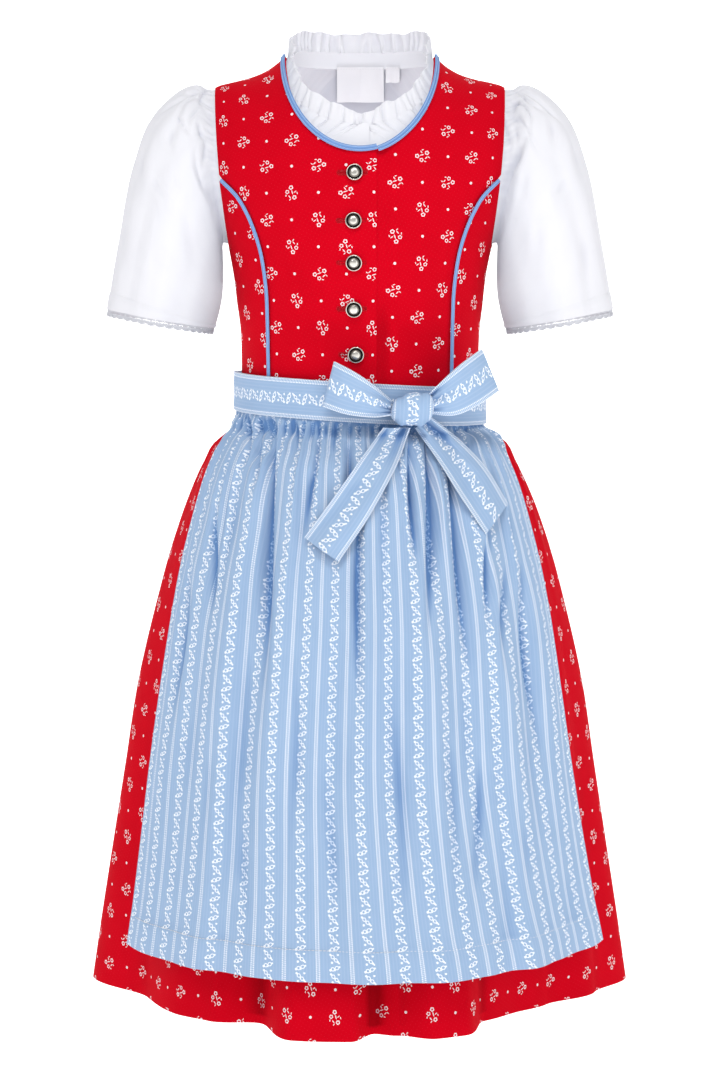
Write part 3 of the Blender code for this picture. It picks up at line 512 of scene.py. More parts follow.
def plug(value, shader, name):
    shader.id_data.links.new(value, shader.inputs[name])


def cut_millimetres(tree):
    """The cloth's own flat position in millimetres, from its UV map."""
    uv = add(tree, "UVMap", uv_map="cut")
    return add(tree, "VectorMath MULTIPLY", (uv, (1000.0, 1000.0, 1000.0)))


def thread_bump(tree, shader, spot, pitch, strength):
    """Plain weave: warp and weft threads a pitch apart, a little coarse, with uneven slubs."""
    scaled = add(tree, "VectorMath MULTIPLY", (spot, (math.tau / pitch,) * 3))
    parts = add(tree, "SeparateXYZ", (scaled,)).node
    warp = add(tree, "Math SINE", (parts.outputs[0],))
    weft = add(tree, "Math SINE", (parts.outputs[1],))
    weave = add(tree, "Math MULTIPLY", (warp, weft))
    slub = add(tree, "TexNoise", {"Vector": spot, "Scale": 0.35, "Detail": 3.0})
    height = add(tree, "Math MULTIPLY_ADD", (slub, 2.0, weave))
    bump = add(tree, "Bump", {"Strength": strength, "Distance": 0.0001, "Height": height})
    plug(bump, shader, "Normal")


# %% Masks of small motifs
def oval(tree, spot, place, half, degrees=0.0, hollow=None):
    """Mask of a turned oval, or of its outline where hollow is the inner share."""
    settings = {"Vector": spot, "Location": place + (0.0,), "Scale": half + (1.0,),
                "Rotation": (0.0, 0.0, math.radians(degrees))}
    local = add(tree, "Mapping", settings, vector_type="TEXTURE")
    size = add(tree, "VectorMath LENGTH", (local,), "Value")
    if hollow is None:
        return add(tree, "Math LESS_THAN", (size, 1.0))
    edge = (size, 0.5 * (1.0 + hollow), 0.5 * (1.0 - hollow))
    return add(tree, "Math COMPARE", edge)


def joined_masks(tree, masks):
    total = masks[0]
    for mask in masks[1:]:
        total = add(tree, "Math MAXIMUM", (total, mask))
    return total


# %% [markdown]
# The dress is plain-woven cotton, piece-dyed a clear red and printed in white. The print is a
# half-drop repeat: a little sprig of three ring flowers and leaf strokes on every second place
# of an 18 mm lattice, and a small dot on the places between, over a ground of faint pin dots.
# Each place turns its sprig by a quarter picked by chance from its own number, as prints do.

# %% Red sprig print
PRINT_PITCH = 18.0

# across, along, turn in degrees, half width, half length
SPRIG_LEAVES = (
    (0.3, 0.5, 38.0, 0.34, 1.5), (2.0, 1.5, -35.0, 0.32, 1.05), (3.7, 1.2, 40.0, 0.3, 0.8),
    (-0.4, -2.9, 62.0, 0.34, 1.15), (0.6, -4.5, -18.0, 0.3, 0.85),
    (-3.0, -3.0, 12.0, 0.32, 0.8),
)

# across, along, radius
SPRIG_FLOWERS = (
    (-1.6, 3.2, 1.42), (2.9, -2.2, 1.42), (-3.0, -0.4, 1.3),
)


def make_red_print():
    made, tree, shader = new_material("red cotton with white sprig print", 0.85)
    spot = cut_millimetres(tree)
    lattice = add(tree, "VectorMath MULTIPLY", (spot, (1.0 / PRINT_PITCH,) * 3))
    cell = add(tree, "VectorMath FLOOR", (lattice,))
    inside = add(tree, "VectorMath FRACTION", (lattice,))
    centred = add(tree, "VectorMath SUBTRACT", (inside, (0.5, 0.5, 0.0)))
    local = add(tree, "VectorMath MULTIPLY", (centred, (PRINT_PITCH,) * 3))
    numbers = add(tree, "SeparateXYZ", (cell,)).node
    total = add(tree, "Math ADD", (numbers.outputs[0], numbers.outputs[1]))
    odd = add(tree, "Math FLOORED_MODULO", (total, 2.0))
    chance = add(tree, "TexWhiteNoise", {"Vector": cell}, noise_dimensions="2D")
    quarter = add(tree, "Math MULTIPLY", (chance, 4.0))
    quarter = add(tree, "Math FLOOR", (quarter,))
    angle = add(tree, "Math MULTIPLY_ADD", (quarter, math.pi / 2, 0.35))
    turned = add(tree, "VectorRotate", {"Vector": local, "Angle": angle}, rotation_type="Z_AXIS")
    sprig = [oval(tree, turned, (x, y), (half_width, half_length), degrees)
             for x, y, degrees, half_width, half_length in SPRIG_LEAVES]
    for x, y, radius in SPRIG_FLOWERS:
        away = add(tree, "VectorMath SUBTRACT", (turned, (x, y, 0.0)))
        size = add(tree, "VectorMath LENGTH", (away,), "Value")
        parts = add(tree, "SeparateXYZ", (away,)).node
        round_ = add(tree, "Math ARCTAN2", (parts.outputs[1], parts.outputs[0]))
        petals = add(tree, "Math MULTIPLY", (round_, 5.0))
        petals = add(tree, "Math COSINE", (petals,))
        edge = add(tree, "Math MULTIPLY_ADD", (petals, 0.13, radius))
        filled = add(tree, "Math LESS_THAN", (size, edge))
        open_ = add(tree, "Math GREATER_THAN", (size, 0.72))
        sprig.append(add(tree, "Math MULTIPLY", (filled, open_)))
    reach = add(tree, "VectorMath LENGTH", (local,), "Value")
    dot = add(tree, "Math LESS_THAN", (reach, 0.95))
    even = add(tree, "Math SUBTRACT", (1.0, odd))
    on_even = add(tree, "Math MULTIPLY", (joined_masks(tree, sprig), even))
    on_odd = add(tree, "Math MULTIPLY", (dot, odd))
    motif = add(tree, "Math MAXIMUM", (on_even, on_odd))
    pins = add(tree, "VectorRotate", {"Vector": spot, "Angle": 0.5}, rotation_type="Z_AXIS")
    pins = add(tree, "VectorMath MULTIPLY", (pins, (0.4, 0.4, 0.4)))
    pins = add(tree, "VectorMath FRACTION", (pins,))
    pins = add(tree, "VectorMath DISTANCE", (pins, (0.5, 0.5, 0.0)), out="Value")
    pins = add(tree, "Math LESS_THAN", (pins, 0.10))
    pins = add(tree, "Math MULTIPLY", (pins, 0.09))
    shade = add(tree, "TexNoise", {"Vector": spot, "Scale": 0.03, "Detail": 2.0})
    ground = add(tree, "Mix", {0: shade, 6: "#BF0016", 7: "#CB001A"}, **COLOUR)
    ground = add(tree, "Mix", {0: pins, 6: ground, 7: "#E86470"}, **COLOUR)
    paint = add(tree, "Mix", {0: motif, 6: ground, 7: "#E6DADE"}, **COLOUR)
    # painted shade: the print turns darker in the creases
    paint = painted_crease_shade(tree, paint, (0.6, 0.5, 0.55), 2.5)
    plug(paint, shader, "Base Color")
    thread_bump(tree, shader, spot, 0.55, 0.1)
    return made


red_print = make_red_print()
print("print repeat", PRINT_PITCH, "mm")

# %% [markdown]
# The apron cloth is a light blue cotton satin with white stripes woven in. A vine of leaf
# outlines 8 mm wide alternates with a 3 mm chain, and fine tone-in-tone lines lie between.
# The stripes run down the panel and along the bands, where the vine falls in the middle.

# %% Blue striped apron cotton
STRIPE_REPEAT = 24.5
VINE_PERIOD = 12.6
CHAIN_PERIOD = 1.2
# across, along, half length, half width, degrees, hollow share of each cell of the slanted sprays
VINE_CELLS = (
    (-1.3, 4.2, 1.5, 1.35, -41.0, 0.6), (0.95, 2.25, 1.45, 1.3, -41.0, 0.6),
    (-1.5, -3.65, 1.4, 1.4, 18.0, 0.6), (1.5, -2.7, 1.7, 1.35, 18.0, 0.62),
)
# place and half size of each bead of the chain
CHAIN_BEADS = (
    ((-1.05, 0.0), (0.46, 0.40)), ((1.05, 0.6), (0.46, 0.40)),
    ((1.05, -0.6), (0.46, 0.40)), ((0.0, 0.3), (0.5, 0.16)),
)
# across, along, radius of each filled dot
VINE_DOTS = (
    (-2.9, 5.65, 0.8), (2.35, 1.2, 0.75), (3.2, 0.35, 0.6), (2.6, 5.9, 0.8), (-1.95, 0.55, 0.8),
    (-3.25, -4.35, 0.85), (3.45, -1.95, 0.6), (0.1, -4.3, 0.5), (-0.15, 2.35, 0.45),
)


def repeated(tree, value, period, offset=0.0):
    """A coordinate folded into one repeat, with its zero in the middle."""
    moved = add(tree, "Math ADD", (value, offset + 0.5 * period))
    folded = add(tree, "Math FLOORED_MODULO", (moved, period))
    return add(tree, "Math SUBTRACT", (folded, 0.5 * period))


def make_blue_stripe():
    made, tree, shader = new_material("light blue striped cotton satin", 0.6, 0.03)
    spot = cut_millimetres(tree)
    parts = add(tree, "SeparateXYZ", (spot,)).node
    u, v = parts.outputs[0], parts.outputs[1]
    vine = (repeated(tree, u, STRIPE_REPEAT), repeated(tree, v, VINE_PERIOD), 0.0)
    vine = add(tree, "CombineXYZ", vine)
    masks = [oval(tree, vine, (x, y), (long_, wide), degrees, hollow)
             for x, y, long_, wide, degrees, hollow in VINE_CELLS]
    masks += [oval(tree, vine, (x, y), (radius, radius)) for x, y, radius in VINE_DOTS]
    chain = repeated(tree, u, STRIPE_REPEAT, 0.5 * STRIPE_REPEAT)
    chain = add(tree, "CombineXYZ", (chain, repeated(tree, v, CHAIN_PERIOD), 0.0))
    masks += [oval(tree, chain, place, half) for place, half in CHAIN_BEADS]
    motif = joined_masks(tree, masks)
    fine = repeated(tree, u, STRIPE_REPEAT / 10.0, 0.6)
    line = add(tree, "Math COMPARE", (fine, 0.0, 0.4))
    faint = add(tree, "Math MULTIPLY", (line, 0.12))
    shade = add(tree, "TexNoise", {"Vector": spot, "Scale": 0.04, "Detail": 2.0})
    ground = add(tree, "Mix", {0: shade, 6: "#92ADCE", 7: "#9CB5D4"}, **COLOUR)
    ground = add(tree, "Mix", {0: faint, 6: ground, 7: "#C6D4E8"}, **COLOUR)
    paint = add(tree, "Mix", {0: motif, 6: ground, 7: "#EDF1F7"}, **COLOUR)
    # painted shade: the stripes turn darker and bluer in the creases
    paint = painted_crease_shade(tree, paint, (0.38, 0.54, 0.75), 1.8)
    plug(paint, shader, "Base Color")
    thread_bump(tree, shader, spot, 0.7, 0.2)
    return made


blue_stripe = make_blue_stripe()
print("stripe repeat", STRIPE_REPEAT, "mm")

# %% [markdown]
# The blouse is bleached cotton: almost white, matt, with a fine weave. The piping is a
# blue cotton bias strip over a cord, plain and a little deeper in colour than the apron.
# The tapes in the neck are bare woven polyester, and the buttons cast metal, silver plated,
# blackened and then rubbed bright on what stands up. The darker silver beside the groove is
# half rubbed patina and painted shade on the dome's edge.

# %% Plain materials
def make_plain(name, low, high, roughness, pitch, strength, sheen=0.1):
    made, tree, shader = new_material(name, roughness, sheen)
    spot = cut_millimetres(tree)
    shade = add(tree, "TexNoise", {"Vector": spot, "Scale": 0.05, "Detail": 2.0})
    paint = add(tree, "Mix", {0: shade, 6: low, 7: high}, **COLOUR)
    # painted shade: the cloth turns darker and a little bluer in the creases
    paint = painted_crease_shade(tree, paint, (0.80, 0.81, 0.85), 1.8)
    plug(paint, shader, "Base Color")
    thread_bump(tree, shader, spot, pitch, strength)
    return made


def make_bias():
    made = make_plain("light blue bias piping", "#6C8FC4", "#7A9DD0", 0.6, 0.6, 0.35, 0.0)
    tree = made.node_tree
    shader = tree.nodes["Principled BSDF"]
    ground = shader.inputs["Base Color"].links[0].from_socket
    across = add(tree, "SeparateXYZ", {0: cut_millimetres(tree)})
    line = add(tree, "Math ABSOLUTE", (repeated(tree, across, 2.4),))
    line = add(tree, "Math LESS_THAN", (line, 0.2))
    line = add(tree, "Math MULTIPLY", (line, 0.6))
    paint = add(tree, "Mix", {0: line, 6: ground, 7: "#C3D3EC"}, **COLOUR)
    plug(paint, shader, "Base Color")
    return made


def make_metal(name, code, roughness):
    made, tree, shader = new_material(name, roughness, 0.0, 1.0)
    place = add(tree, "TexCoord", out="Object")
    rub = add(tree, "TexNoise", {"Vector": place, "Scale": 900.0, "Detail": 3.0})
    bright = linear(code)
    low = tuple(0.8 * channel for channel in bright[:3]) + (1.0,)
    paint = add(tree, "Mix", {0: rub, 6: low, 7: bright}, **COLOUR)
    plug(paint, shader, "Base Color")
    return made


white_cotton = make_plain("bleached white cotton", "#DCDCE2", "#E2E2E7", 0.85, 0.7, 0.25, 0.0)
# The lace threads are white; their light grey here is painted shade.
grey_shaded_lace = make_plain("white cotton lace thread painted grey as shade", "#CDCED5", "#D7D8DE", 0.8, 0.5, 0.4, 0.0)
white_tape = make_plain("bare white woven tape", "#E8E8EC", "#EEEEF1", 0.6, 0.6, 0.5, 0.0)
blue_bias = make_bias()
white_thread = make_plain("white sewing thread", "#DADBDE", "#E4E5E8", 0.7, 0.4, 0.2)
red_thread = make_plain("red sewing thread", "#AA0418", "#BC061C", 0.7, 0.4, 0.2)
bright_silver = make_metal("rubbed antique silver", "#DEDBD3", 0.3)
# darker silver beside the groove: half rubbed patina and painted shade on the dome's edge
patina_and_shade_silver = make_metal("half rubbed silver beside the grooves with painted shade", "#8A867F", 0.4)
dark_silver = make_metal("blackened silver in the grooves", "#2C2A28", 0.55)
# a cloth and the name of its slot
RED, BLUE = (red_print, "red_print_cotton"), (blue_stripe, "blue_apron_cotton")
WHITE, TAPE = (white_cotton, "white_cotton"), (white_tape, "woven_tape")
print(len(bpy.data.materials), "materials")

# %% [markdown]
# The skirt is two panels sewn at the sides, drawn up by gathering threads under the bodice and
# left to hang. Near the waist each gather is a narrow ridge of its own length and height; they
# die out unevenly, and from them the few large folds open down to the level hem. Both come from
# short tables and a seeded list of ridges, so no two neighbours are alike.

# %% Skirt form
# height, half width, front depth, back depth
SKIRT = table(
    (-636.7, 191, 172, 172), (-597, 185, 166.5, 167), (-539, 175.5, 158, 158),
    (-482, 166, 149.5, 150), (-425, 156.5, 141, 141), (-368, 142.5, 128.5, 128),
    (-325.5, 130, 117, 116), (-297.4, 119.5, 108, 107), (-269.4, 107, 97, 96),
    (-256, 99, 90, 88), (-250, 91, 84, 80), (-244.6, 84.2, 79, 73.5), (-240, 83.3, 78.3, 72.6),
    (-224.3, 82.5, 77.6, 71.8),
)

SKIRT_TOP, SKIRT_TOP_WIDTH, SKIRT_HEM_WIDTH, HEM_TURN = -224.4, 420.0, 600.0, 24.0
# below these heights the gathers start and the large folds open
GATHER_Z, FOLD_Z = -243.0, -246.0

# angle from the front, radius at the hem
HEM_FOLDS = table(
    (-180, 168), (-170, 154), (-157, 175), (-144, 158), (-131, 182), (-118, 165), (-104, 188),
    (-90, 191), (-68, 160), (-51, 163), (-40, 159), (-28, 144), (-15, 175), (-2, 173),
    (3.4, 154), (9, 160), (17, 173), (24, 172), (34.8, 148), (46, 146), (58, 151), (74, 171),
    (88.5, 190), (103, 184), (115, 166), (129, 184), (141, 162), (155, 178), (168, 160),
    (180, 168),
)

print("waist of the skirt", 2.0 * SKIRT[-1, 1], "mm wide, hem", 2.0 * SKIRT[0, 1], "mm wide")

# %% Rings and gathers
def ring_radius(rows, angle, z, back_index):
    """Radius of an oval ring, with a depth of its own behind."""
    half = curve_through(rows, z, 1)
    front, back = curve_through(rows, z, 2), curve_through(rows, z, back_index)
    depth = np.where(np.cos(angle) >= 0.0, front, back)
    return half * depth / np.sqrt((depth * np.sin(angle)) ** 2 + (half * np.cos(angle)) ** 2)


def round_body(angle, radius, z):
    return np.stack((radius * np.sin(angle), -radius * np.cos(angle), z + 0.0 * radius), axis=-1)


def ridge_list(seed, count, height, lengths, spread=0.28):
    """Gathers as rows of place, half width, length, height and drift, all a little uneven."""
    chance = np.random.default_rng(seed)
    rows = []
    for number in range(count):
        place = (number + 0.5 + chance.uniform(-spread, spread)) / count
        half = chance.uniform(0.30, 0.52) / count
        length = lengths[0] + (lengths[1] - lengths[0]) * chance.uniform() ** 2.2
        tall = height * chance.uniform(0.55, 1.3)
        rows.append((place, half, length, tall, chance.uniform(-0.5, 0.5) / count))
    return rows


def ridges(rows, share, down, narrow=1.0):
    """Height of the gathers at a share of the width and a length down from the gathering line."""
    field = np.zeros(np.broadcast(share, down).shape)
    for place, half, length, height, drift in rows:
        reach = np.clip(down / length, 0.0, None)
        wide = narrow * half * (1.0 + 0.9 * reach)
        bump = np.exp(-((share - place - drift * reach) / wide) ** 2)
        field += height * bump * ease(down / 7.0) * np.exp(-1.6 * reach ** 1.3)
    return field


SKIRT_RIDGES = ridge_list(11, 96, 3.3, (34.0, 150.0))
SKIRT_SWELLS = ridge_list(12, 30, 3.4, (110.0, 330.0))
print(len(SKIRT_RIDGES), "gathers and", len(SKIRT_SWELLS), "swells round the skirt")

# %% Skirt panels
def skirt_radius(angle, z):
    share = np.mod(angle / (math.tau) + 0.5, 1.0)
    hem = curve_through(HEM_FOLDS, np.degrees(angle), 1, flat=True)
    growth = np.clip((FOLD_Z - z) / (FOLD_Z - HEM_Z), 0.0, 1.0) ** 1.35
    fold = (hem - ring_radius(SKIRT, angle, HEM_Z, 3)) * growth
    down = np.clip(GATHER_Z - z, 0.0, None)
    small = ridges(SKIRT_RIDGES, share, down)
    small = small + ridges(SKIRT_SWELLS, share, down) * ease(down / 60.0)
    # the skirt lies a little flatter under the apron
    under = ease((64.0 - np.abs(np.degrees(angle))) / 12.0) * ease((-251.0 - z) / 12.0)
    under = under * (1.0 - ease((-430.0 - z) / 60.0))
    return ring_radius(SKIRT, angle, z, 3) + fold + small - 1.4 * ease(down / 12.0) - 4.5 * under


def measured(grid):
    """Area of a grid of points in square metres."""
    across, up = np.diff(grid, axis=1)[:-1], np.diff(grid, axis=0)[:, :-1]
    return float(np.linalg.norm(np.cross(across, up), axis=2).sum()) * MM * MM


def signed_angle(angle):
    return np.where(angle > math.pi, angle - math.tau, angle)


def make_skirt_half(node, start):
    columns, rows = 236, 78
    angle = np.radians(np.linspace(start, start + 180.0, columns))
    part = ramp(rows)[:, None]
    z = SKIRT_TOP + (HEM_Z - SKIRT_TOP) * part ** 1.3
    outer = round_body(angle[None], skirt_radius(signed_angle(angle)[None], z), z)
    thick = SKIRT_WALL + 0.5 * ease((HEM_TURN - z + HEM_Z) / 2.0) + 0.0 * angle[None]
    outer, inner = wall_of(outer, thick)
    width = SKIRT_TOP_WIDTH + (SKIRT_HEM_WIDTH - SKIRT_TOP_WIDTH) * part
    share = np.linspace(-0.5, 0.5, columns)[None]
    sew(node, [(outer, inner, flat_uv(share * width + 9.0, z))], RED)
    print(node, round(measured(outer), 4), "m2, hem", round(run_along(outer[-1])[-1]), "mm")


make_skirt_half("skirt_front", -90.0)
make_skirt_half("skirt_back", 90.0)

# %% [markdown]
# The apron is one straight width gathered onto its band. Its gathers stand close together at
# the band and fade by a third of the way down, where a few long folds take over. The lower
# edge is turned up 22 mm and stitched, so the cloth is double there and a little proud.

# %% Apron form
# height, half width, front depth
APRON = table(
    (-595.5, 178, 181), (-582, 176, 179), (-526, 168.5, 168.5), (-471.5, 160.5, 158),
    (-417, 151, 147), (-362, 139, 134), (-335, 131, 126.5), (-308, 122, 118),
    (-281, 112.5, 109.5), (-262, 103, 101), (-252, 96, 92), (-244.8, 88, 83.5),
    (-233, 86.4, 81.6),
)

# angle from the front, offset in the middle, offset at the hem
APRON_FOLDS = table(
    (-84, 0, 0), (-66, -1.5, -2), (-57, 2, -1), (-48, -2.5, -3), (-38, 3, 0.5), (-31, -5, -4.5),
    (-23, 2.8, -1.5), (-14, 0.5, 0), (-7, -2.5, -1), (1, 2.5, 2.5), (9, -1.8, 1), (18, 3.5, 6),
    (27.5, -4.8, 1.5), (34, 0.5, -2), (40, 3, 4), (48, -2.5, -0.5), (56, 2.5, -3),
    (64, -1.5, 0), (84, 1, 2),
)

# height, x of the left edge, x of the right edge
APRON_EDGE = table(
    (-595.5, -159.2, 167.4), (-582, -157, 163.9), (-526, -149.7, 153.1),
    (-471.5, -143.4, 144.1), (-417, -135.8, 136.5), (-362, -127, 128.2), (-335, -122, 122.9),
    (-308, -115.2, 116), (-281, -107.5, 108), (-256, -96.5, 96), (-244.8, -87.2, 87),
    (-233, -85.4, 85.4),
)

APRON_WIDTH, APRON_TOP, APRON_TURN, APRON_CLEAR = 452.0, -236.0, 22.0, 1.2
APRON_RIDGES = ridge_list(21, 50, 5.7, (34.0, 150.0), 0.3)
APRON_SWELLS = ridge_list(22, 17, 3.4, (150.0, 460.0), 0.3)

# deep creases: x and height of the upper end, x and height of the lower end, half width, depth
APRON_CREASES = (
    (-76, -238, -80, -272, 1.7, 6.2), (-66, -238, -72, -284, 1.9, 8.1),
    (-58, -238, -70, -450, 3, 10.6), (-44, -238, -47, -270, 1.7, 6.2),
    (-30, -238, -35, -318, 2.1, 7.5), (-16, -238, -19, -268, 1.7, 6.9),
    (-7, -250, -9.5, -330, 2, 5.6), (3.5, -262, -3.5, -452, 3.2, 8.5),
    (14, -240, 13, -280, 1.7, 6.2), (34, -240, 40, -345, 2.3, 8.8),
    (45, -240, 50, -410, 2.9, 10.6), (58, -250, 78, -420, 2.9, 9.4),
    (66, -238, 70, -266, 1.6, 6.2), (73, -238, 80, -280, 1.8, 7.5),
    (83, -300, 90, -385, 2.5, 6), (-96, -290, -104, -380, 2.6, 5.5),
    (-118, -320, -130, -480, 3.4, 7), (110, -320, 122, -480, 3.2, 6.5),
    (97, -330, 101, -420, 2.6, 5), (-44, -370, -48, -560, 4.4, 2.5),
    (24, -400, 26, -580, 4.6, 2.5), (-99, -410, -107, -580, 4.2, 2.5),
    (56, -410, 62, -585, 4.2, 2.8), (76, -445, 79, -560, 3.6, 2.8),
    (106, -470, 112, -580, 4, 2.2), (-20, -450, -21, -585, 4.4, 2),
    (-72, -480, -76, -590, 4.4, 2),
)

print(len(APRON_RIDGES), "gathers and", len(APRON_CREASES), "creases on the apron")

# %% Apron surface
def creases(rows, x, z):
    """Depth of the creases placed by hand, each fading out over its lower half."""
    field = np.zeros(np.broadcast(x, z).shape)
    for top_x, top_z, low_x, low_z, half, depth in rows:
        run = (top_z - z) / (top_z - low_z)
        centre = top_x + (low_x - top_x) * run + 0.8 * half * np.sin(4.0 * run + top_x)
        # those that start at the band start at once, the others softly
        start = ease((top_z + 5.0 - z) / 12.0) if top_z > -255.0 else ease((run + 0.05) / 0.5)
        wide = half * (1.0 + 0.4 * np.clip(run, 0.0, 1.0))
        part = start * (1.0 - ease((run - 0.4) / 0.6))
        field += depth * part * np.exp(-((x - centre) / wide) ** 2)
    return np.minimum(field, 9.5)


def apron_radius(angle, z, share):
    top = curve_through(BAND_TOP, np.degrees(angle), 1) - BAND_HEIGHT
    middle = curve_through(APRON_FOLDS, np.degrees(angle), 1, flat=True)
    hem = curve_through(APRON_FOLDS, np.degrees(angle), 2, flat=True)
    low = np.clip((-250.0 - z) / (-250.0 - APRON_HEM_Z), 0.0, 1.0)
    fold = middle * np.sin(math.pi * np.clip(low * 1.15, 0.0, 1.0)) + hem * low ** 2
    down = np.clip(top - 0.5 - z, 0.0, None)
    small = ridges(APRON_RIDGES, share, down, 0.75)
    small = small + ridges(APRON_SWELLS, share, down, 0.8) * ease(down / 60.0)
    own = ring_radius(APRON, angle, z, 2) + fold + small - 1.2 * ease(down / 10.0)
    inside = ease((1.0 - np.abs(2.0 * share - 1.0)) / 0.1)
    own = own + 3.2 * inside * ease(down / 22.0) * (1.0 - ease((-z - 360.0) / 120.0))
    own = own - creases(APRON_CREASES, own * np.sin(angle), z)
    least = skirt_radius(angle, z) + APRON_WALL + APRON_CLEAR
    return least + 2.0 * np.logaddexp(0.0, (own - least) / 2.0)


def apron_edges(z):
    """Angles of both edges of the panel at each height, where they meet the outline."""
    ends = []
    for index, side in ((1, -1.0), (2, 1.0)):
        edge = curve_through(APRON_EDGE, z, index)
        angle = np.full(z.shape, side * 1.2)
        for _ in range(25):
            radius = apron_radius(angle, z, 0.5 + 0.5 * side)
            angle = 0.5 * (angle + np.arcsin(np.clip(edge / radius, -0.997, 0.997)))
        ends.append(angle)
    return ends


print("apron in front at the hem", round(float(apron_radius(0.0, APRON_HEM_Z, 0.5)), 1), "mm")

# %% Apron panel
def make_apron():
    columns, rows = 390, 104
    share = ramp(columns)[None]
    part = ramp(rows)[:, None]
    z = APRON_TOP + (APRON_HEM_Z - APRON_TOP) * part ** 1.3
    first, last = apron_edges(z[:, 0])
    smooth = np.ones(9) / 9.0
    for ends in (first, last):
        padded = np.concatenate((np.full(4, ends[0]), ends, np.full(4, ends[-1])))
        ends[:] = np.convolve(padded, smooth, mode="valid")
    angle = first[:, None] + (last - first)[:, None] * share
    top = curve_through(BAND_TOP, np.degrees(angle), 1) - BAND_HEIGHT + 0.9
    blend = ease((z + 285.0) / 49.0)
    level = z + (top - APRON_TOP) * blend
    radius = apron_radius(angle, level, share)
    under = ring_radius(TORSO, angle, level, 3) + BAND_OUT - 0.1
    join = ease((level - top + 5.0) / 5.0)
    radius = radius * (1.0 - join) + under * join
    outer = round_body(angle, radius, level)
    length = runs_across(outer.transpose(1, 0, 2)).T
    from_hem = length[-1:] - length
    thick = APRON_WALL + 0.7 * ease((APRON_TURN - from_hem) / 1.6)
    side = np.minimum(share, 1.0 - share) * APRON_WIDTH
    thick = np.maximum(thick, APRON_WALL + 0.5 * ease((9.0 - side) / 1.2))
    outer = outer + grid_normals(outer) * (thick - APRON_WALL)[..., None]
    outer, inner = wall_of(outer, thick)
    sew("apron_panel", [(outer, inner, flat_uv((share - 0.5) * APRON_WIDTH, from_hem))], BLUE)
    print("apron", round(measured(outer), 4), "m2,", round(float(length[-1].mean())), "mm long")
    return outer, from_hem


apron_grid, apron_from_hem = make_apron()

# %% [markdown]
# The bodice has five pieces of the printed cotton: two fronts that overlap in the middle, two
# side panels from the curved seams to the side seams, and one back. Each is ruled between its
# two boundary lines on the body surface, and its print is laid out on its own cut, so the
# sprigs stop at every seam as on the real dress.

# %% Bodice panels
def panel_grid(left, right, columns):
    share = ramp(columns)[None, :, None]
    return left[:, None] * (1.0 - share) + right[:, None] * share


def panel_uv(spots, shift=(0.0, 0.0)):
    """Flat position of places on the body, in millimetres across and up."""
    turn, lift = spots[..., 0], spots[..., 1]
    up = np.maximum(lift, 0.0)
    half = 88.0 + flare(up)
    swing = np.where(turn > math.pi / 2, 2.0 - np.sin(turn), np.sin(turn))
    u = half * (0.55 * turn + 0.45 * swing)
    tall = rise(half * np.sin(turn))
    v = CHEST_Z + TORSO_SCALE * np.minimum(lift, 0.0)
    v = v + 0.5 * (tall + 74.0) * up + 0.25 * (tall - 74.0) * np.sin(2.0 * up)
    return np.stack((u + shift[0], v + shift[1]), axis=-1)


def soft_wave(point, size, seed):
    """Slow unevenness of cloth that isn't pressed flat, a few tenths of a millimetre."""
    x, z = point[..., 0] + 0.7 * point[..., 1], point[..., 2]
    wave = np.sin(x / 9.0 + seed + 0.9 * np.sin(z / 23.0 + seed))
    wave += np.sin(z / 15.0 + 2.0 * seed + 1.1 * np.sin(x / 19.0 - seed))
    return size * 0.5 * wave


def edge_sink(point):
    """Cloth pulled in beside the first and last columns, where it is sewn."""
    run = runs_across(point)
    near = np.minimum(run, run[:, -1:] - run)
    return 0.45 * np.exp(-(near / 2.2) ** 2)


def bodice_wall(left, right, columns, sink, shift, seed):
    spots = panel_grid(left, right, columns)
    point, normal = on_body(spots)
    wave = np.clip(soft_wave(point, 0.35, seed), -0.35, 0.3)
    outer = point - normal * (sink(point) + edge_sink(point) - wave)[..., None]
    return outer, outer - normal * BODICE_WALL, panel_uv(spots, shift)


def underlap_sink(point):
    return UNDERLAP_SINK * ease((24.0 - point[..., 0]) / 9.0)


def no_sink(point):
    return np.zeros(point.shape[:-1])


def front_lines(edge_x, step=0.0):
    level = math.sqrt(1.0 - (edge_x / NECK_HALF) ** 2)
    neck_z = NECK_TOP - NECK_DROP * level - step * level ** 6
    edge = torso_at(edge_x, np.linspace(WAIST_Z, neck_z, 30))
    left = np.concatenate((edge, neck_line(edge_x, 44, step)[1:]))
    seam = shifted(front_seam(44), -0.5 * SEAM_GAP)
    return left, np.concatenate((seam, armhole_line(-75.2, 30)[1:]))


def side_line(turn, heights):
    """A side seam below the chest, as turns and lifts."""
    return np.stack((np.full(len(heights), turn), (heights - CHEST_Z) / TORSO_SCALE), axis=1)

print("lift of the waist", round((WAIST_Z - CHEST_Z) / TORSO_SCALE, 3))

# %% Cut and sew the bodice
def make_bodice_fronts():
    left, right = front_lines(-CLOSURE_X)
    wall = bodice_wall(mirrored(right), mirrored(left), 46, no_sink, (0.0, 4.0), 1.0)
    sew("bodice_front_right", [wall], RED)
    left, right = front_lines(UNDERLAP_X, NECK_STEP)
    wall = bodice_wall(left, right, 50, underlap_sink, (4.0, -3.0), 2.0)
    sew("bodice_front_left", [wall], RED)


def make_bodice_sides():
    seam = shifted(front_seam(44), 0.5 * SEAM_GAP)
    height = torso(seam[:, 0], seam[:, 1])[:, 2]
    side = torso_at(curve_through(ARMHOLE, height, 1), height)
    side = np.where(height[:, None] < CHEST_Z, side_line(SIDE_TURN - SIDE_GAP, height), side)
    sew("bodice_side_left", [bodice_wall(seam, side, 22, no_sink, (7.0, 6.0), 3.0)], RED)
    wall = bodice_wall(mirrored(side), mirrored(seam), 22, no_sink, (-6.0, -5.0), 3.0)
    sew("bodice_side_right", [wall], RED)


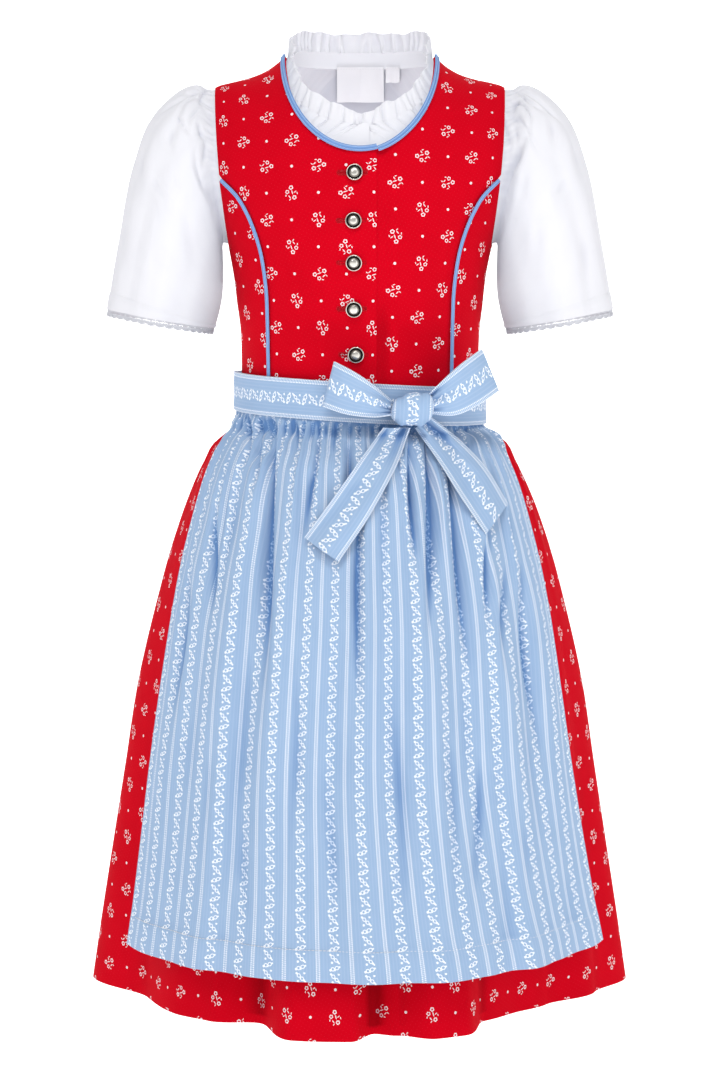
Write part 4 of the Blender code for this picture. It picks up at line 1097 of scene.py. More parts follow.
def make_bodice_back():
    """Two halves that meet on one exact middle line and are welded there."""
    low = side_line(SIDE_TURN + SIDE_GAP, np.linspace(WAIST_Z, CHEST_Z, 22))
    arm = np.concatenate((low, armhole_line(CHEST_Z + 0.5, 35, True)[1:]))
    middle = torso_at(0.0, np.linspace(WAIST_Z, NECK_TOP - BACK_NECK_DROP, 25), True)
    neck = np.concatenate((middle, back_neck_line(32)[1:]))
    near = bodice_wall(arm, neck, 40, no_sink, (9.0, 2.0), 4.0)
    far = bodice_wall(round_back(neck), round_back(arm), 40, no_sink, (9.0, 2.0), 4.0)
    far[2][..., 0] = far[2][..., 0] - far[2][0, 0, 0] + near[2][0, -1, 0]
    centre, normal = on_body(neck[:25])
    for wall, column in ((near, -1), (far, 0)):
        wall[0][:25, column] = centre
        wall[1][:25, column] = centre - normal * BODICE_WALL
    sew("bodice_back", [near, far], RED, joined=24)


make_bodice_fronts()
make_bodice_sides()
make_bodice_back()

# %% [markdown]
# A rope of cloth runs over the curved seams and round the neck: a blue bias strip folded over
# a thin cord, so its section is a round roll with a flat sewn edge beside it and a groove of
# stitches between. It is a section carried along a line on the body surface.

# %% Tubes, rolls and stitches
# mm of the cut from corner to corner of a roll; share of a stitch's half length, width, rise
GIRTH_STEP = 0.8
STITCH_RINGS = ((-1.0, 0.45, 0.0), (-0.6, 1.0, 1.0), (0.6, 1.0, 1.0), (1.0, 0.45, 0.0))


def tube_faces(rows, count):
    """Quads of a tube made of rings, and its two flat ends."""
    faces = []
    for base in range(0, (rows - 1) * count, count):
        for spot in range(count):
            follow = (spot + 1) % count
            low, high = (base + spot, base + follow), (base + count + follow, base + count + spot)
            faces.append(low + high)
    last = (rows - 1) * count
    return faces + [tuple(range(count))[::-1], tuple(range(last, last + count))]


def carried_section(name, line, section, made):
    """A closed section (across, up) carried along a line of turns and lifts on the body."""
    path, up = on_body(line)
    across = unit(np.cross(np.gradient(path, axis=0), up))
    run, count = run_along(path), len(section)
    points = np.stack([path + across * x + up * z for x, z in section], axis=1)
    mesh, layer = new_mesh(name, points.reshape(-1, 3), tube_faces(len(path), count))
    for loop in mesh.loops:
        row, spot = divmod(loop.vertex_index, count)
        layer.data[loop.index].uv = (spot * GIRTH_STEP * MM, run[row] * MM)
    return link_piece(name, mesh, made, 60.0, True)


def joined_piece(name, parts):
    """Several meshes made one object, each keeping its own material."""
    bpy.ops.object.select_all(action="DESELECT")
    for part in parts:
        part.select_set(True)
    bpy.context.view_layer.objects.active = parts[0]
    bpy.ops.object.join()
    piece = bpy.context.view_layer.objects.active
    piece.name = name
    return piece


def stitches(name, path, up, made, pitch=2.4, length=1.7, width=0.42, height=0.32):
    """A row of short flat thread loops along a path in millimetres, standing on its surface."""
    run = run_along(path)
    count = max(2, int(run[-1] / pitch))
    middle = (np.arange(count) + 0.5) * run[-1] / count
    spots, normal = places_at(middle, run, path), unit(places_at(middle, run, up))
    along = unit(places_at(middle + 0.5, run, path) - places_at(middle - 0.5, run, path))
    across = np.cross(along, normal)
    points = []
    for share, wide, low in STITCH_RINGS:
        for side, level in ((-1.0, 0.0), (-0.6, low), (0.6, low), (1.0, 0.0)):
            lifted = height * level * 0.75 - 0.12 * (1.0 - level)
            points.append(spots + along * (share * 0.5 * length)
                          + across * (side * wide * 0.5 * width) + normal * lifted)
    points = np.stack(points, axis=1).reshape(-1, 3)
    faces = [tuple(base + corner for corner in face)
             for base in range(0, 16 * count, 16) for face in tube_faces(4, 4)]
    return link_piece(name, new_mesh(name, points, faces)[0], made, turned=True)

print("faces of one stitch", len(tube_faces(4, 4)))

# %% Pipings
def roll_section(half, lift, groove):
    """Piping seen end on: a low roll, or two rolls with a groove between."""
    angles = np.linspace(0.0, math.tau, 18, endpoint=False)
    x = half * np.cos(angles)
    z = lift + 0.95 * np.sin(angles) * np.where(np.sin(angles) > 0.0, 1.0, 0.75)
    dip = groove * np.exp(-((x + 0.18 * half) / (0.22 * half)) ** 2) * (np.sin(angles) > 0.0)
    return np.stack((x, z - dip), axis=1)


def roll_piping(node, line, section):
    stand_for(carried_section(node + "_roll", line, section, blue_bias), node)


def make_pipings():
    seam = front_seam(90)
    roll_piping("seam_piping_left", seam, roll_section(1.5, 1.1, 0.0))
    roll_piping("seam_piping_right", mirrored(seam), roll_section(1.5, 1.1, 0.0))
    right = shifted(neck_line(CLOSURE_X + 0.5, 90, NECK_STEP), 0.9)
    left = mirrored(shifted(neck_line(-CLOSURE_X + 0.2, 90), 0.9))
    back = shifted(back_neck_line(60), -0.9)
    line = np.concatenate((left, mirrored(back)[:-1][::-1], back[1:-1], right[::-1]))
    roll_piping("neck_piping", line, roll_section(1.95, 1.2, 0.75))


make_pipings()

# %% [markdown]
# Five cast buttons close the front: a raised rim, a deep blackened groove and a rubbed dome.
# One is modelled from a disc by repeated insets, as it would be turned, then set five times.
# Under each lies a buttonhole worked in dense red thread, and only its ends show.

# %% Button form
# x, z of each button on the front
BUTTONS = (
    (-3.6, -72.2), (-4.3, -103.8), (-4.0, -131.5), (-4.0, -162.2), (-2.7, -192.8),
)

# inset from the last ring, rise, both in millimetres
BUTTON_STEPS = (
    (0.28, 0.22), (0.3, 0.0), (0.18, -0.25), (0.1, -0.85), (0.75, -0.05), (0.15, 0.95),
    (0.45, 0.7), (0.7, 0.45), (0.9, 0.3), (0.85, 0.12),
)
BUTTON_RADIUS, BUTTON_DISC, BUTTON_SEAT = 5.45, 1.8, 0.75


def make_button():
    bpy.ops.object.select_all(action="DESELECT")
    bpy.ops.mesh.primitive_cylinder_add(
        vertices=36, radius=BUTTON_RADIUS * MM, depth=BUTTON_DISC * MM,
        location=(0.0, 0.0, 0.5 * BUTTON_DISC * MM))
    button = bpy.context.object
    bpy.ops.object.mode_set(mode="EDIT")
    bpy.ops.mesh.select_mode(type="FACE")
    bpy.ops.mesh.select_all(action="DESELECT")
    bpy.ops.object.mode_set(mode="OBJECT")
    for face in button.data.polygons:
        face.select = face.normal.z > 0.9
    bpy.ops.object.mode_set(mode="EDIT")
    for inset, lift in BUTTON_STEPS:
        bpy.ops.mesh.inset(thickness=inset * MM, depth=lift * MM)
    bpy.ops.object.mode_set(mode="OBJECT")
    bpy.ops.object.transform_apply(location=True)
    bevel = button.modifiers.new("worn edges", "BEVEL")
    bevel.width = 0.12 * MM
    bevel.segments = 2
    bevel.angle_limit = math.radians(35.0)
    bpy.ops.object.modifier_apply(modifier=bevel.name)
    bpy.ops.object.shade_smooth_by_angle(angle=math.radians(40.0))
    for metal in (bright_silver, patina_and_shade_silver, dark_silver):
        button.data.materials.append(metal)
    for face in button.data.polygons:
        reach = math.hypot(face.center.x, face.center.y) / MM
        grooved = 3.72 < reach < 4.62 and face.center.z > 0.0005
        # faces beside the groove take the darker silver: patina, and painted shade on the dome's
        # edge
        face.material_index = 2 if grooved else 1 if 2.1 < reach < 4.9 else 0
    return button


print(len(BUTTONS), "buttons of", 2.0 * BUTTON_RADIUS, "mm")

# %% Set the buttons and work their holes
def set_button(pattern, number, x, z):
    spot = torso_at(x, z)
    place, normal = torso(*spot) * MM, torso_normal(*spot)
    button = pattern.copy()
    button.data = pattern.data.copy()
    button.name = "button_%d_silver" % number
    bpy.context.collection.objects.link(button)
    turn = mathutils.Vector(normal).to_track_quat("Z", "Y")
    seat = mathutils.Vector(place + normal * BUTTON_SEAT * MM)
    button.matrix_world = mathutils.Matrix.LocRotScale(seat, turn, None)
    bpy.ops.object.select_all(action="DESELECT")
    button.select_set(True)
    bpy.context.view_layer.objects.active = button
    bpy.ops.object.transform_apply(location=True, rotation=True, scale=True)
    stand_for(button, "button_%d" % number)


def make_buttonhole(x, z):
    """Dense red stitches round a slot that is longer than the button is wide."""
    angles = np.linspace(0.0, math.tau, 60)
    across = x - 1.5 + 8.6 * np.clip(1.3 * np.cos(angles), -1.0, 1.0) + 0.9 * np.cos(angles)
    up = z + 0.95 * np.clip(2.2 * np.sin(angles), -1.0, 1.0)
    point, normal = on_body(torso_at(across, up))
    return stitches("buttonhole", point + normal * 0.15, normal, red_thread, 0.62, 0.55, 1.5, 0.34)


def make_buttons():
    pattern = make_button()
    for number, (x, z) in enumerate(BUTTONS, 1):
        set_button(pattern, number, x, z)
    bpy.data.objects.remove(pattern, do_unlink=True)
    holes = [make_buttonhole(x, z) for x, z in BUTTONS]
    carry(joined_piece("buttonhole_stitches", holes))


make_buttons()

# %% [markdown]
# The blouse under the dress is cut with two fronts that lap in the middle and one back. Its
# neck is gathered into a narrow band, so short creases run down from the band and fade under
# the bodice. Only the neck and the rims of the armholes show.

# %% Neck of the blouse
BLOUSE_NECK_HALF, BLOUSE_NECK_TOP, BLOUSE_NECK_DROP = 58.0, 8.1, 45.6
BLOUSE_BACK_DROP, BLOUSE_LOW, NECK_GIRTH = 2.1, -150.0, 382.0


def neck_gather_list(count):
    """Creases round the neck: place from the centre front, half width, depth, length, drift."""
    chance = np.random.default_rng(31)
    gaps = chance.uniform(0.35, 1.65, count)
    places = (np.cumsum(gaps) / gaps.sum() - 0.5) * NECK_GIRTH
    rows = []
    for place in places:
        half, depth = chance.uniform(0.55, 1.2), chance.uniform(0.5, 1.35)
        length = 12.0 + 26.0 * chance.uniform() ** 1.6
        rows.append((place, half, depth, length, chance.uniform(-3.0, 3.0)))
    return rows


NECK_GATHERS = neck_gather_list(56)


def neck_troughs(place, down):
    """Depth of the creases below the neck seam, or up the frill where down is negative."""
    field = np.zeros(np.broadcast(place, down).shape)
    for spot, half, depth, length, drift in NECK_GATHERS:
        reach = np.where(down > 0.0, down / length, -down / 13.0)
        fade = np.where(down > 0.0, np.exp(-1.1 * np.abs(reach) ** 1.5), 1.0 - 0.3 * reach)
        wide = half * (1.0 + 0.9 * reach)
        field += depth * fade * np.exp(-((place - spot - drift * reach) / wide) ** 2)
    return np.minimum(field, 1.5)


def blouse_neck(start, count, back=False):
    drop = BLOUSE_BACK_DROP if back else BLOUSE_NECK_DROP
    return oval_line(BLOUSE_NECK_HALF, BLOUSE_NECK_TOP, drop, count, start, back)


print(len(NECK_GATHERS), "creases round the neck")

# %% Blouse panels
def neck_place(edge, behind):
    """Distance from the centre front along the neck, for a panel's edge at the neck."""
    line = blouse_neck(0.0, 200, behind)
    line = torso(line[:, 0], line[:, 1])
    place = np.interp(np.abs(edge[:, 0]), line[:, 0], run_along(line))
    return np.sign(edge[:, 0] + 1e-9) * (NECK_GIRTH / 2.0 - place if behind else place)


def lap_sink(point):
    """Extra depth near the middle of the front, where the bodice laps."""
    return UNDERLAP_SINK * ease((38.0 - np.abs(point[..., 0])) / 14.0) * (point[..., 1] < 0.0)


def own_lap(point):
    """The left front of the blouse lies under the right one."""
    return 1.0 * ease((14.0 - point[..., 0]) / 7.0)


def blouse_wall(left, right, columns, below, neck_first):
    """Wall of a blouse panel; below is the extra depth of its surface, neck_first its neck edge."""
    spots = panel_grid(left, right, columns)
    point, normal = on_body(spots)
    run = runs_across(point)
    down = run if neck_first else run[:, -1:] - run
    edge = point[:, 0] if neck_first else point[:, -1]
    behind = bool(edge[len(edge) // 2, 1] > 0.0)
    troughs = neck_troughs(neck_place(edge, behind)[:, None], down + 0.01)
    depth = BLOUSE_INSET - BLOUSE_WALL + lap_sink(point) + below(point)
    outer = point - normal * (depth + (0.35 if behind else 1.5) * troughs)[..., None]
    return outer, outer - normal * BLOUSE_WALL, panel_uv(spots, (0.0, 0.0))


def blouse_edge(start):
    """Front edge of a blouse front and its neckline, to the shoulder."""
    top = BLOUSE_NECK_TOP - BLOUSE_NECK_DROP * math.sqrt(1.0 - (start / BLOUSE_NECK_HALF) ** 2)
    low_line = torso_at(start, np.linspace(BLOUSE_LOW, top, 20))
    return np.concatenate((low_line, blouse_neck(start, 126)[1:]))


def make_blouse_fronts():
    side = side_line(SIDE_TURN - SIDE_GAP, np.linspace(BLOUSE_LOW, CHEST_Z + 2.0, 16))
    side[:, 1] = np.where(side[:, 1] > 0.0, 0.02, side[:, 1])
    arm = np.concatenate((side, shifted(armhole_line(CHEST_Z + 0.5, 130), 0.6)[1:]))
    sew("blouse_front_left", [blouse_wall(blouse_edge(-5.5), arm, 58, own_lap, True)], WHITE)
    wall = blouse_wall(mirrored(arm), mirrored(blouse_edge(-6.5)), 58, no_sink, False)
    sew("blouse_front_right", [wall], WHITE)
    return side[:, 1]


def make_blouse_back(lifts):
    side = np.stack((np.full(len(lifts), SIDE_TURN + SIDE_GAP), lifts), axis=1)
    arm = np.concatenate((side, shifted(armhole_line(CHEST_Z + 0.5, 46, True), -0.6)[1:]))
    middle = torso_at(0.0, np.linspace(BLOUSE_LOW, 6.0, 20), True)
    neck = np.concatenate((middle, blouse_neck(0.0, 42, True)[1:]))
    near = blouse_wall(arm, neck, 46, no_sink, False)
    far = blouse_wall(round_back(neck), round_back(arm), 46, no_sink, True)
    for layer in (0, 1):
        far[layer][:20, 0] = near[layer][:20, -1]
    sew("blouse_back", [near, far], WHITE, joined=19)


make_blouse_back(make_blouse_fronts())

# %% [markdown]
# A band finishes the blouse neck, low in front and higher behind, and a doubled frill is
# gathered onto its top edge. The frill stands up behind and leans outward in front, with some
# fifty uneven waves, and it is open at the centre front.

# %% Neckband
NECK_MIDDLE = np.array((0.0, -14.0, 0.0))


def neck_loop(count):
    """Points round the neck of the blouse, their outward ways, and the girth."""
    front, back = blouse_neck(0.0, 90), blouse_neck(0.0, 90, True)
    far_side = (mirrored(back)[1:-1], mirrored(front)[::-1][:-1])
    points, normal = on_body(np.concatenate((front, back[::-1][1:]) + far_side))
    ring = closed_ring(points - normal * (BLOUSE_INSET + 0.5 + lap_sink(points))[:, None])
    run = run_along(ring)
    loop = places_at(np.arange(count) / count * run[-1], run, ring)
    for _ in range(count // 14):
        loop = 0.5 * loop + 0.25 * (np.roll(loop, 1, axis=0) + np.roll(loop, -1, axis=0))
    outward = loop - NECK_MIDDLE
    outward[:, 2] = 0.0
    return loop, unit(outward), run[-1]


def make_neckband():
    loop, outward, girth = neck_loop(240)
    back = ease((loop[:, 1:2] + 2.0) / 30.0)
    rows = []
    for share in ramp(7):
        shift = 1.5 * back - 1.0 + 0.25 * math.sin(math.pi * share)
        lift = -1.3 * back - 1.2 * (1.0 - back) + (2.4 + 9.1 * back) * share
        rows.append(loop + outward * shift + UP * lift)
    outer = np.array(rows)
    uv = flat_uv(np.linspace(0.0, girth, 241), np.linspace(0.0, 8.0, 7)[:, None])
    sew("neckband", [(outer, outer - outward * 1.1, uv)], WHITE, closed=True)
    print("neck girth", round(girth), "mm")


make_neckband()

# %% Neck frill
FRILL_POINTS, FRILL_ROWS = 720, 17


def waves(share, number, start=0.0):
    return np.sin(math.tau * number * share + start)


def make_frill():
    loop, outward, girth = neck_loop(FRILL_POINTS)
    order = (np.arange(FRILL_POINTS + 2) + 5) % FRILL_POINTS
    loop, outward = loop[order], outward[order]
    share = ramp(len(loop))
    place = np.mod(share * girth + 2.6 + girth / 2.0, girth) - girth / 2.0
    back = ease((loop[:, 1] + 4.0) / 20.0)
    side = np.clip(np.abs(loop[:, 0]) / BLOUSE_NECK_HALF, 0.0, 1.0) ** 1.5
    seam = loop + UP * (-0.6 + 10.6 * ease((loop[:, 1] + 2.0) / 30.0))[:, None]
    tilt = np.radians(24.0 + 34.0 * side) * (1.0 - back) + math.radians(2.0) * back
    tall = 12.2 + 3.0 * side * (1.0 - back) + 1.4 * back
    tall = tall * (1.0 + 0.05 * waves(share, 9.0) + 0.04 * waves(share, 23.0, 2.0))
    tall = tall * (0.62 + 0.38 * ease(23.0 * np.minimum(share, 1.0 - share)))
    sunk = 0.9 * ease(1.0 - share * girth / 9.0)
    rows = []
    for step in ramp(FRILL_ROWS):
        edge = waves(share, 31.0) + waves(share, 47.0, 1.0)
        edge = 0.5 * (1.0 - 0.6 * side) * step ** 2 * edge
        troughs = neck_troughs(place, np.full(len(share), -13.0 * step))
        wave = 1.2 * math.sin(math.pi * 0.85 * step) + edge - 1.9 * troughs
        bend = tilt * (1.25 - 0.5 * step)
        shift = 1.0 - sunk - tall * step * np.sin(bend) + wave * np.cos(bend)
        lift = tall * step * np.cos(bend) + wave * np.sin(bend)
        rows.append(seam + UP * lift[:, None] + outward * shift[:, None])
    outer = np.array(rows)
    normal = grid_normals(outer)
    out = np.sign(np.sum(normal * outward[None])) * normal
    up = ramp(FRILL_ROWS)[:, None]
    thick = (0.3 + 0.18 * ease((up - 0.86) / 0.06) + 0.0 * share)[..., None]
    wall = (outer + out * thick, outer - out * thick, flat_uv(share * girth * 1.7, up * 11.0))
    sew("neck_ruffle", [wall], WHITE, name="neck_frill_cloth")


make_frill()

# %% [markdown]
# The puff sleeves are set into the armholes with the fullness gathered over the cap. The
# gathers fan out from the shoulder and fade by the middle of the sleeve, and a few broad soft
# folds fall from them. A narrow stitched hem and a bobbin lace edging finish the cuff.

# %% Sleeve form and creases
# outer x, outer z, inner x, inner z, half depth, share of the armhole's own shape
SLEEVE = (
    (105.5, -13.2, 94.4, -118.6, 31.5, 0.75), (110.5, -11, 95.4, -121, 37, 0.35),
    (119.5, -12.3, 95.2, -127.5, 43, 0), (132, -20.7, 95, -134.5, 46.5, 0),
    (144.5, -35.5, 95, -142.5, 48.5, 0), (155.5, -64, 95.4, -153, 49.5, 0),
    (166.2, -116, 98.2, -168, 47.5, 0), (172.2, -149.5, 100.2, -174.6, 45.5, 0),
    (174.6, -163.9, 101.1, -176.9, 45, 0),
)
SLEEVE_COLUMNS, SLEEVE_ROWS = 260, 92
CAP_GATHERS = ridge_list(41, 64, 1.5, (10.0, 44.0), 0.4)
SLEEVE_FLAT = 300.0
# creases as the photo shows them, drawn as short lines: x, z, x, z, x, z ... half width, depth
CREASES_RIGHT = (
    (109.7, -15.5, 117.8, -17.8, 130.4, -26.4, 142.5, -34.4, 1.3, 2.4),
    (108.5, -14.5, 122.3, -17, 134, -22.6, 1.2, 1.8),
    (112, -17, 120.1, -24.1, 123.5, -33.3, 124.7, -47.1, 1.6, 2),
    (124.5, -33, 129, -49, 128, -60, 3.2, 2.4),
    (123.5, -34.4, 118.9, -40.8, 112, -48, 1.2, 1.9),
    (109, -27.5, 114.9, -34.4, 116.6, -43.4, 1.2, 1.7),
    (106, -13, 108.5, -22.9, 105, -31, 1.5, 2.2),
    (109.7, -38.2, 106.8, -47.1, 103, -53.1, 1.2, 1.8),
    (112.5, -48.9, 109.2, -69, 105.1, -80.5, 98, -96, 2.8, 3.4),
    (104.5, -49.7, 105.1, -62.1, 107.5, -73.2, 1.2, 1.3),
    (144, -70.6, 132.7, -87.4, 126, -104, 4.2, 1.6),
    (142.5, -42.8, 147.7, -58.6, 151, -96, 3.6, 2.2), (126, -60.3, 123, -92.4, 3, 1.1),
    (118, -92, 112, -135, 4.2, 1.3), (158, -96, 163, -140, 3.4, 1.2),
    (136, -112, 141, -158, 4.4, 1.1),
)
CREASES_LEFT = (
    (106.7, -15, 113.6, -21.8, 126.5, -32, 1.3, 2.2),
    (109.2, -14.5, 120.5, -20.7, 138.5, -38.7, 1.2, 2),
    (104, -22.5, 111.1, -25.3, 115.4, -32.2, 114, -44.5, 1.2, 2.1),
    (106.3, -22, 104.4, -28.7, 99.5, -30, 1.5, 2.2), (102, -30.6, 110.6, -41.5, 2, 2.3),
    (106.5, -31.3, 113.6, -43.6, 121.5, -59.4, 1.2, 1.6),
    (113.6, -41.8, 107.8, -56.3, 102.1, -69, 97.5, -88, 2.4, 3.5),
    (128, -26.8, 130.9, -43.6, 132, -58.9, 3.2, 2.4), (98.5, -33.4, 101.8, -54.9, 1.3, 1.4),
    (105.4, -38.2, 106.3, -56, 1.2, 1.2), (140, -72.9, 128.7, -92.7, 4.2, 1.7),
    (143.7, -40.8, 150.3, -84.1, 3.6, 2), (113, -62, 108, -92, 3, 1.2),
    (122, -98, 117, -140, 4.2, 1.2), (152, -104, 156, -150, 3.8, 1.3),
)


def drawn(rows, x, z):
    """Depth of creases drawn as lines; each is strong near its start and fades at its end."""
    field = np.zeros(x.shape)
    for row in rows:
        spots = np.array(row[:-2]).reshape(-1, 2)
        steps = np.linalg.norm(np.diff(spots, axis=0), axis=1)
        nearest, reach, done = np.full(x.shape, 1e6), np.zeros(x.shape), 0.0
        for start, end, step in zip(spots[:-1], spots[1:], steps):
            way = (end - start) / step
            along = np.clip((x - start[0]) * way[0] + (z - start[1]) * way[1], 0.0, step)
            gap = np.hypot(x - start[0] - along * way[0], z - start[1] - along * way[1])
            reach = np.where(gap < nearest, (done + along) / steps.sum(), reach)
            nearest, done = np.minimum(nearest, gap), done + step
        fade = ease((reach + 0.12) / (0.3 if row[-2] < 2.0 else 0.7))
        fade = fade * (1.0 - ease((reach - 0.4) / 0.7))
        field += row[-1] * fade * np.exp(-(nearest / row[-2]) ** 2)
    return field


print(len(CREASES_RIGHT), "creases on one sleeve and", len(CREASES_LEFT), "on the other")

# %% Rings of a sleeve

def sleeve_start(shares, moved, raised):
    """Ring of points round the armhole, moved off its line and raised off the body."""
    front = shifted(armhole_line(CHEST_Z + 0.5, 60), moved)
    back = shifted(armhole_line(CHEST_Z + 0.5, 60, True), -moved)
    points, normal = on_body(np.concatenate((front[::-1], back[1:-1])))
    ring = closed_ring(points + normal * raised)
    run = run_along(ring)
    return places_at(np.mod(shares, 1.0) * run[-1], run, ring)


def sleeve_rings():
    even = np.arange(SLEEVE_COLUMNS) / SLEEVE_COLUMNS
    shares = even - 0.07 * np.sin(math.tau * even)
    angles = math.tau * shares
    rings = [sleeve_start(shares, -2.6, -2.0), sleeve_start(shares, 1.2, -1.4)]
    start = rings[0]
    for outer_x, outer_z, inner_x, inner_z, half, own_share in SLEEVE:
        top, low = np.array((outer_x, 0.0, outer_z)), np.array((inner_x, 0.0, inner_z))
        ring = 0.5 * (top + low) + 0.5 * (top - low) * np.cos(angles)[:, None]
        ring[:, 1] = -half * np.sin(angles)
        if own_share:
            part = (start[:, 2:] - start[:, 2].min()) / np.ptp(start[:, 2])
            bottom = start[start[:, 2].argmin()]
            own = start + part * (top - start[0]) + (1.0 - part) * (low - bottom)
            ring = ring * (1.0 - own_share) + own * own_share
        rings.append(ring)
    return np.array(rings), shares


def smooth_rows(rings, count):
    """Rows between rings on smooth curves, evenly spaced along the sleeve."""
    gaps = np.linalg.norm(np.diff(rings, axis=0), axis=2).mean(axis=1)
    keys = np.concatenate(([0.0], np.cumsum(gaps)))
    at = keys[-1] * ramp(count) ** 1.3
    spot = np.clip(np.searchsorted(keys, at, side="right") - 1, 0, len(keys) - 2)
    gap = (keys[spot + 1] - keys[spot])[:, None, None]
    part = ((at - keys[spot])[:, None, None]) / gap
    slopes = np.gradient(rings, keys, axis=0)
    ends = rings[spot] * (1.0 - ease(part)) + rings[spot + 1] * ease(part)
    start = slopes[spot] * gap * part * (1.0 - part) ** 2
    stop = slopes[spot + 1] * gap * part ** 2 * (1.0 - part)
    return ends + (start - stop), at


print("rings of a sleeve", len(sleeve_rings()[0]))

# %% Gathers and folds of the sleeves
# angle round the sleeve, half width in degrees, height in mm of each broad soft fold
BROAD_FOLDS = (
    (35.0, 9.0, 1.6), (62.0, 8.0, -1.3), (88.0, 12.0, 1.2), (118.0, 10.0, -1.2),
    (205.0, 12.0, 1.3), (238.0, 9.0, -1.2), (270.0, 11.0, 1.3), (305.0, 8.0, 1.5),
    (332.0, 9.0, -1.2),
)


def broad_folds(shares, reach):
    field = 0.0
    for angle, width, size in BROAD_FOLDS:
        turn = (360.0 * shares - angle + 180.0) % 360.0 - 180.0
        sway = 6.0 * np.sin(3.0 * reach + angle)
        field = field + size * np.exp(-((turn[None] + sway) / width) ** 2) * ease(reach / 0.45)
    return field


def make_sleeve_form(front_rows, back_rows):
    """Grid of the sleeve on the left, its normals, and the distance of each row from the seam."""
    rings, shares = sleeve_rings()
    grid, at = smooth_rows(rings, SLEEVE_ROWS)
    normal = grid_normals(grid, True)
    middle = grid.mean(axis=1, keepdims=True)
    normal = normal * np.sign(np.sum(normal * (grid - middle)))
    down = at[:, None] - 3.0 + 0.0 * shares[None]
    from_top = np.minimum(shares, 1.0 - shares)
    half = np.sign(np.sin(2 * math.pi * shares + 1e-9))
    place = np.mod(0.5 + 0.5 * half * from_top * 2.0, 1.0)
    cap = ease((0.40 - from_top) / 0.22)[None]
    gathers = -ridges(CAP_GATHERS, place[None], np.clip(down + 2.0, 0.0, None), 0.7) * cap
    x, y, z = grid[:, :, 0], grid[:, :, 1], grid[:, :, 2]
    front = ease((3.0 - y) / 6.0)
    lines = drawn(front_rows, x, z) * front + drawn(back_rows, x, z) * (1.0 - front)
    lift = gathers + 0.5 * cap * ease(down / 10.0) - lines
    lift = lift * ease((at[:, None] - 2.0) / 5.0)
    lift = lift + broad_folds(shares, at[:, None] / at[-1]) * 0.8
    return grid + normal * lift[..., None], normal, at


sleeve_forms = {
    "left": make_sleeve_form(CREASES_LEFT, CREASES_RIGHT),
    "right": make_sleeve_form(CREASES_RIGHT, CREASES_LEFT),
}
print("sleeve length", round(float(sleeve_forms["left"][2][-1]), 1), "mm")

# %% Sew the sleeves
def make_sleeve(side, sign):
    """The sleeve and its hem thread; the thread is taken up with the apron's, later."""
    grid, out, at = sleeve_forms[side]
    hem, flip = at[-1] - at, np.array((sign, 1.0, 1.0))
    thick = BLOUSE_WALL + 0.55 * ease((8.2 - hem) / 1.4)
    outer = grid + out * (thick - BLOUSE_WALL)[:, None, None]
    inner = outer - out * thick[:, None, None]
    uv = flat_uv(np.linspace(0.0, SLEEVE_FLAT, SLEEVE_COLUMNS + 1), at[:, None])
    sew("sleeve_" + side, [(outer * flip, inner * flip, uv)], WHITE, closed=True)
    row = int(np.argmin(np.abs(hem - 7.4)))
    ring, away = closed_ring(outer[row]) * flip, closed_ring(out[row]) * flip
    return stitches("sleeve_%s_hem_stitches" % side, ring, away, white_thread, 2.3, 1.6, 0.4, 0.26)


sleeve_threads = [make_sleeve(side, sign) for side, sign in SIDES]

# %% [markdown]
# The cuff lace is a narrow bobbin edging: a heading tape sewn under the hem, a row of small
# rings, and scallops 6.6 mm apart, each an arc of thread with little picots. It is made of
# thin threads laid out flat along the hem, then carried round the cuff.

# %% Lace threads
# scallop width, where arcs and net start below the hem, rows of the heading tape
SCALLOP, ARC_BASE, NET_TOP = 6.6, 1.9, 1.45
HEADING_DROPS = (0.0, 0.22, 0.45)


def circle(points):
    turn = np.linspace(0.0, math.tau, points, endpoint=False)
    return np.stack((np.cos(turn), np.sin(turn)), axis=1)


def lace_paths(pitch):
    """Threads of one repeat in flat millimetres: list of (closed, half width, points)."""
    threads = []
    for centre, drop, radius in ((0.0, 1.0, 0.6), (0.34, 0.95, 0.55), (-0.34, 0.95, 0.55)):
        threads.append((True, 0.24, np.array((centre * pitch, drop)) + radius * circle(8)))
    arc = np.linspace(0.0, math.pi, 11)
    for share, tall, half in ((0.5, 2.35, 0.34), (0.43, 1.55, 0.26), (0.3, 0.85, 0.26)):
        drop = ARC_BASE + tall * np.sin(arc) ** 0.85
        threads.append((False, half, np.stack((-share * pitch * np.cos(arc), drop), axis=1)))
    for degrees in (42.0, 90.0, 138.0):
        a = math.radians(degrees)
        spot = (-0.5 * pitch * math.cos(a), ARC_BASE + 2.35 * math.sin(a) ** 0.75)
        away = np.array((-math.cos(a), math.sin(a))) * 0.42
        threads.append((True, 0.15, np.array(spot) + away + 0.34 * circle(6)))
    return threads


print("threads in one scallop", len(lace_paths(SCALLOP)))

# %% Lace carried round the cuff
def thread_points(path, out, closed, half):
    """Four corners round each point of a thread."""
    ahead = np.roll(path, -1, axis=0) - np.roll(path, 1, axis=0)
    if not closed:
        ahead[0], ahead[-1] = path[1] - path[0], path[-1] - path[-2]
    beside = np.cross(out, unit(ahead))
    corners = (path + beside * half, path + out * half * 0.8,
               path - beside * half, path - out * half * 0.8)
    return np.stack(corners, axis=1).reshape(-1, 3)


def thread_faces(base, number, closed):
    faces = []
    for spot in range(number if closed else number - 1):
        low, high = base + 4 * spot, base + 4 * ((spot + 1) % number)
        for corner in range(4):
            beside = (corner + 1) % 4
            faces.append((low + corner, low + beside, high + beside, high + corner))
    if not closed:
        last = base + 4 * (number - 1)
        faces += [(base + 3, base + 2, base + 1, base), (last, last + 1, last + 2, last + 3)]
    return faces


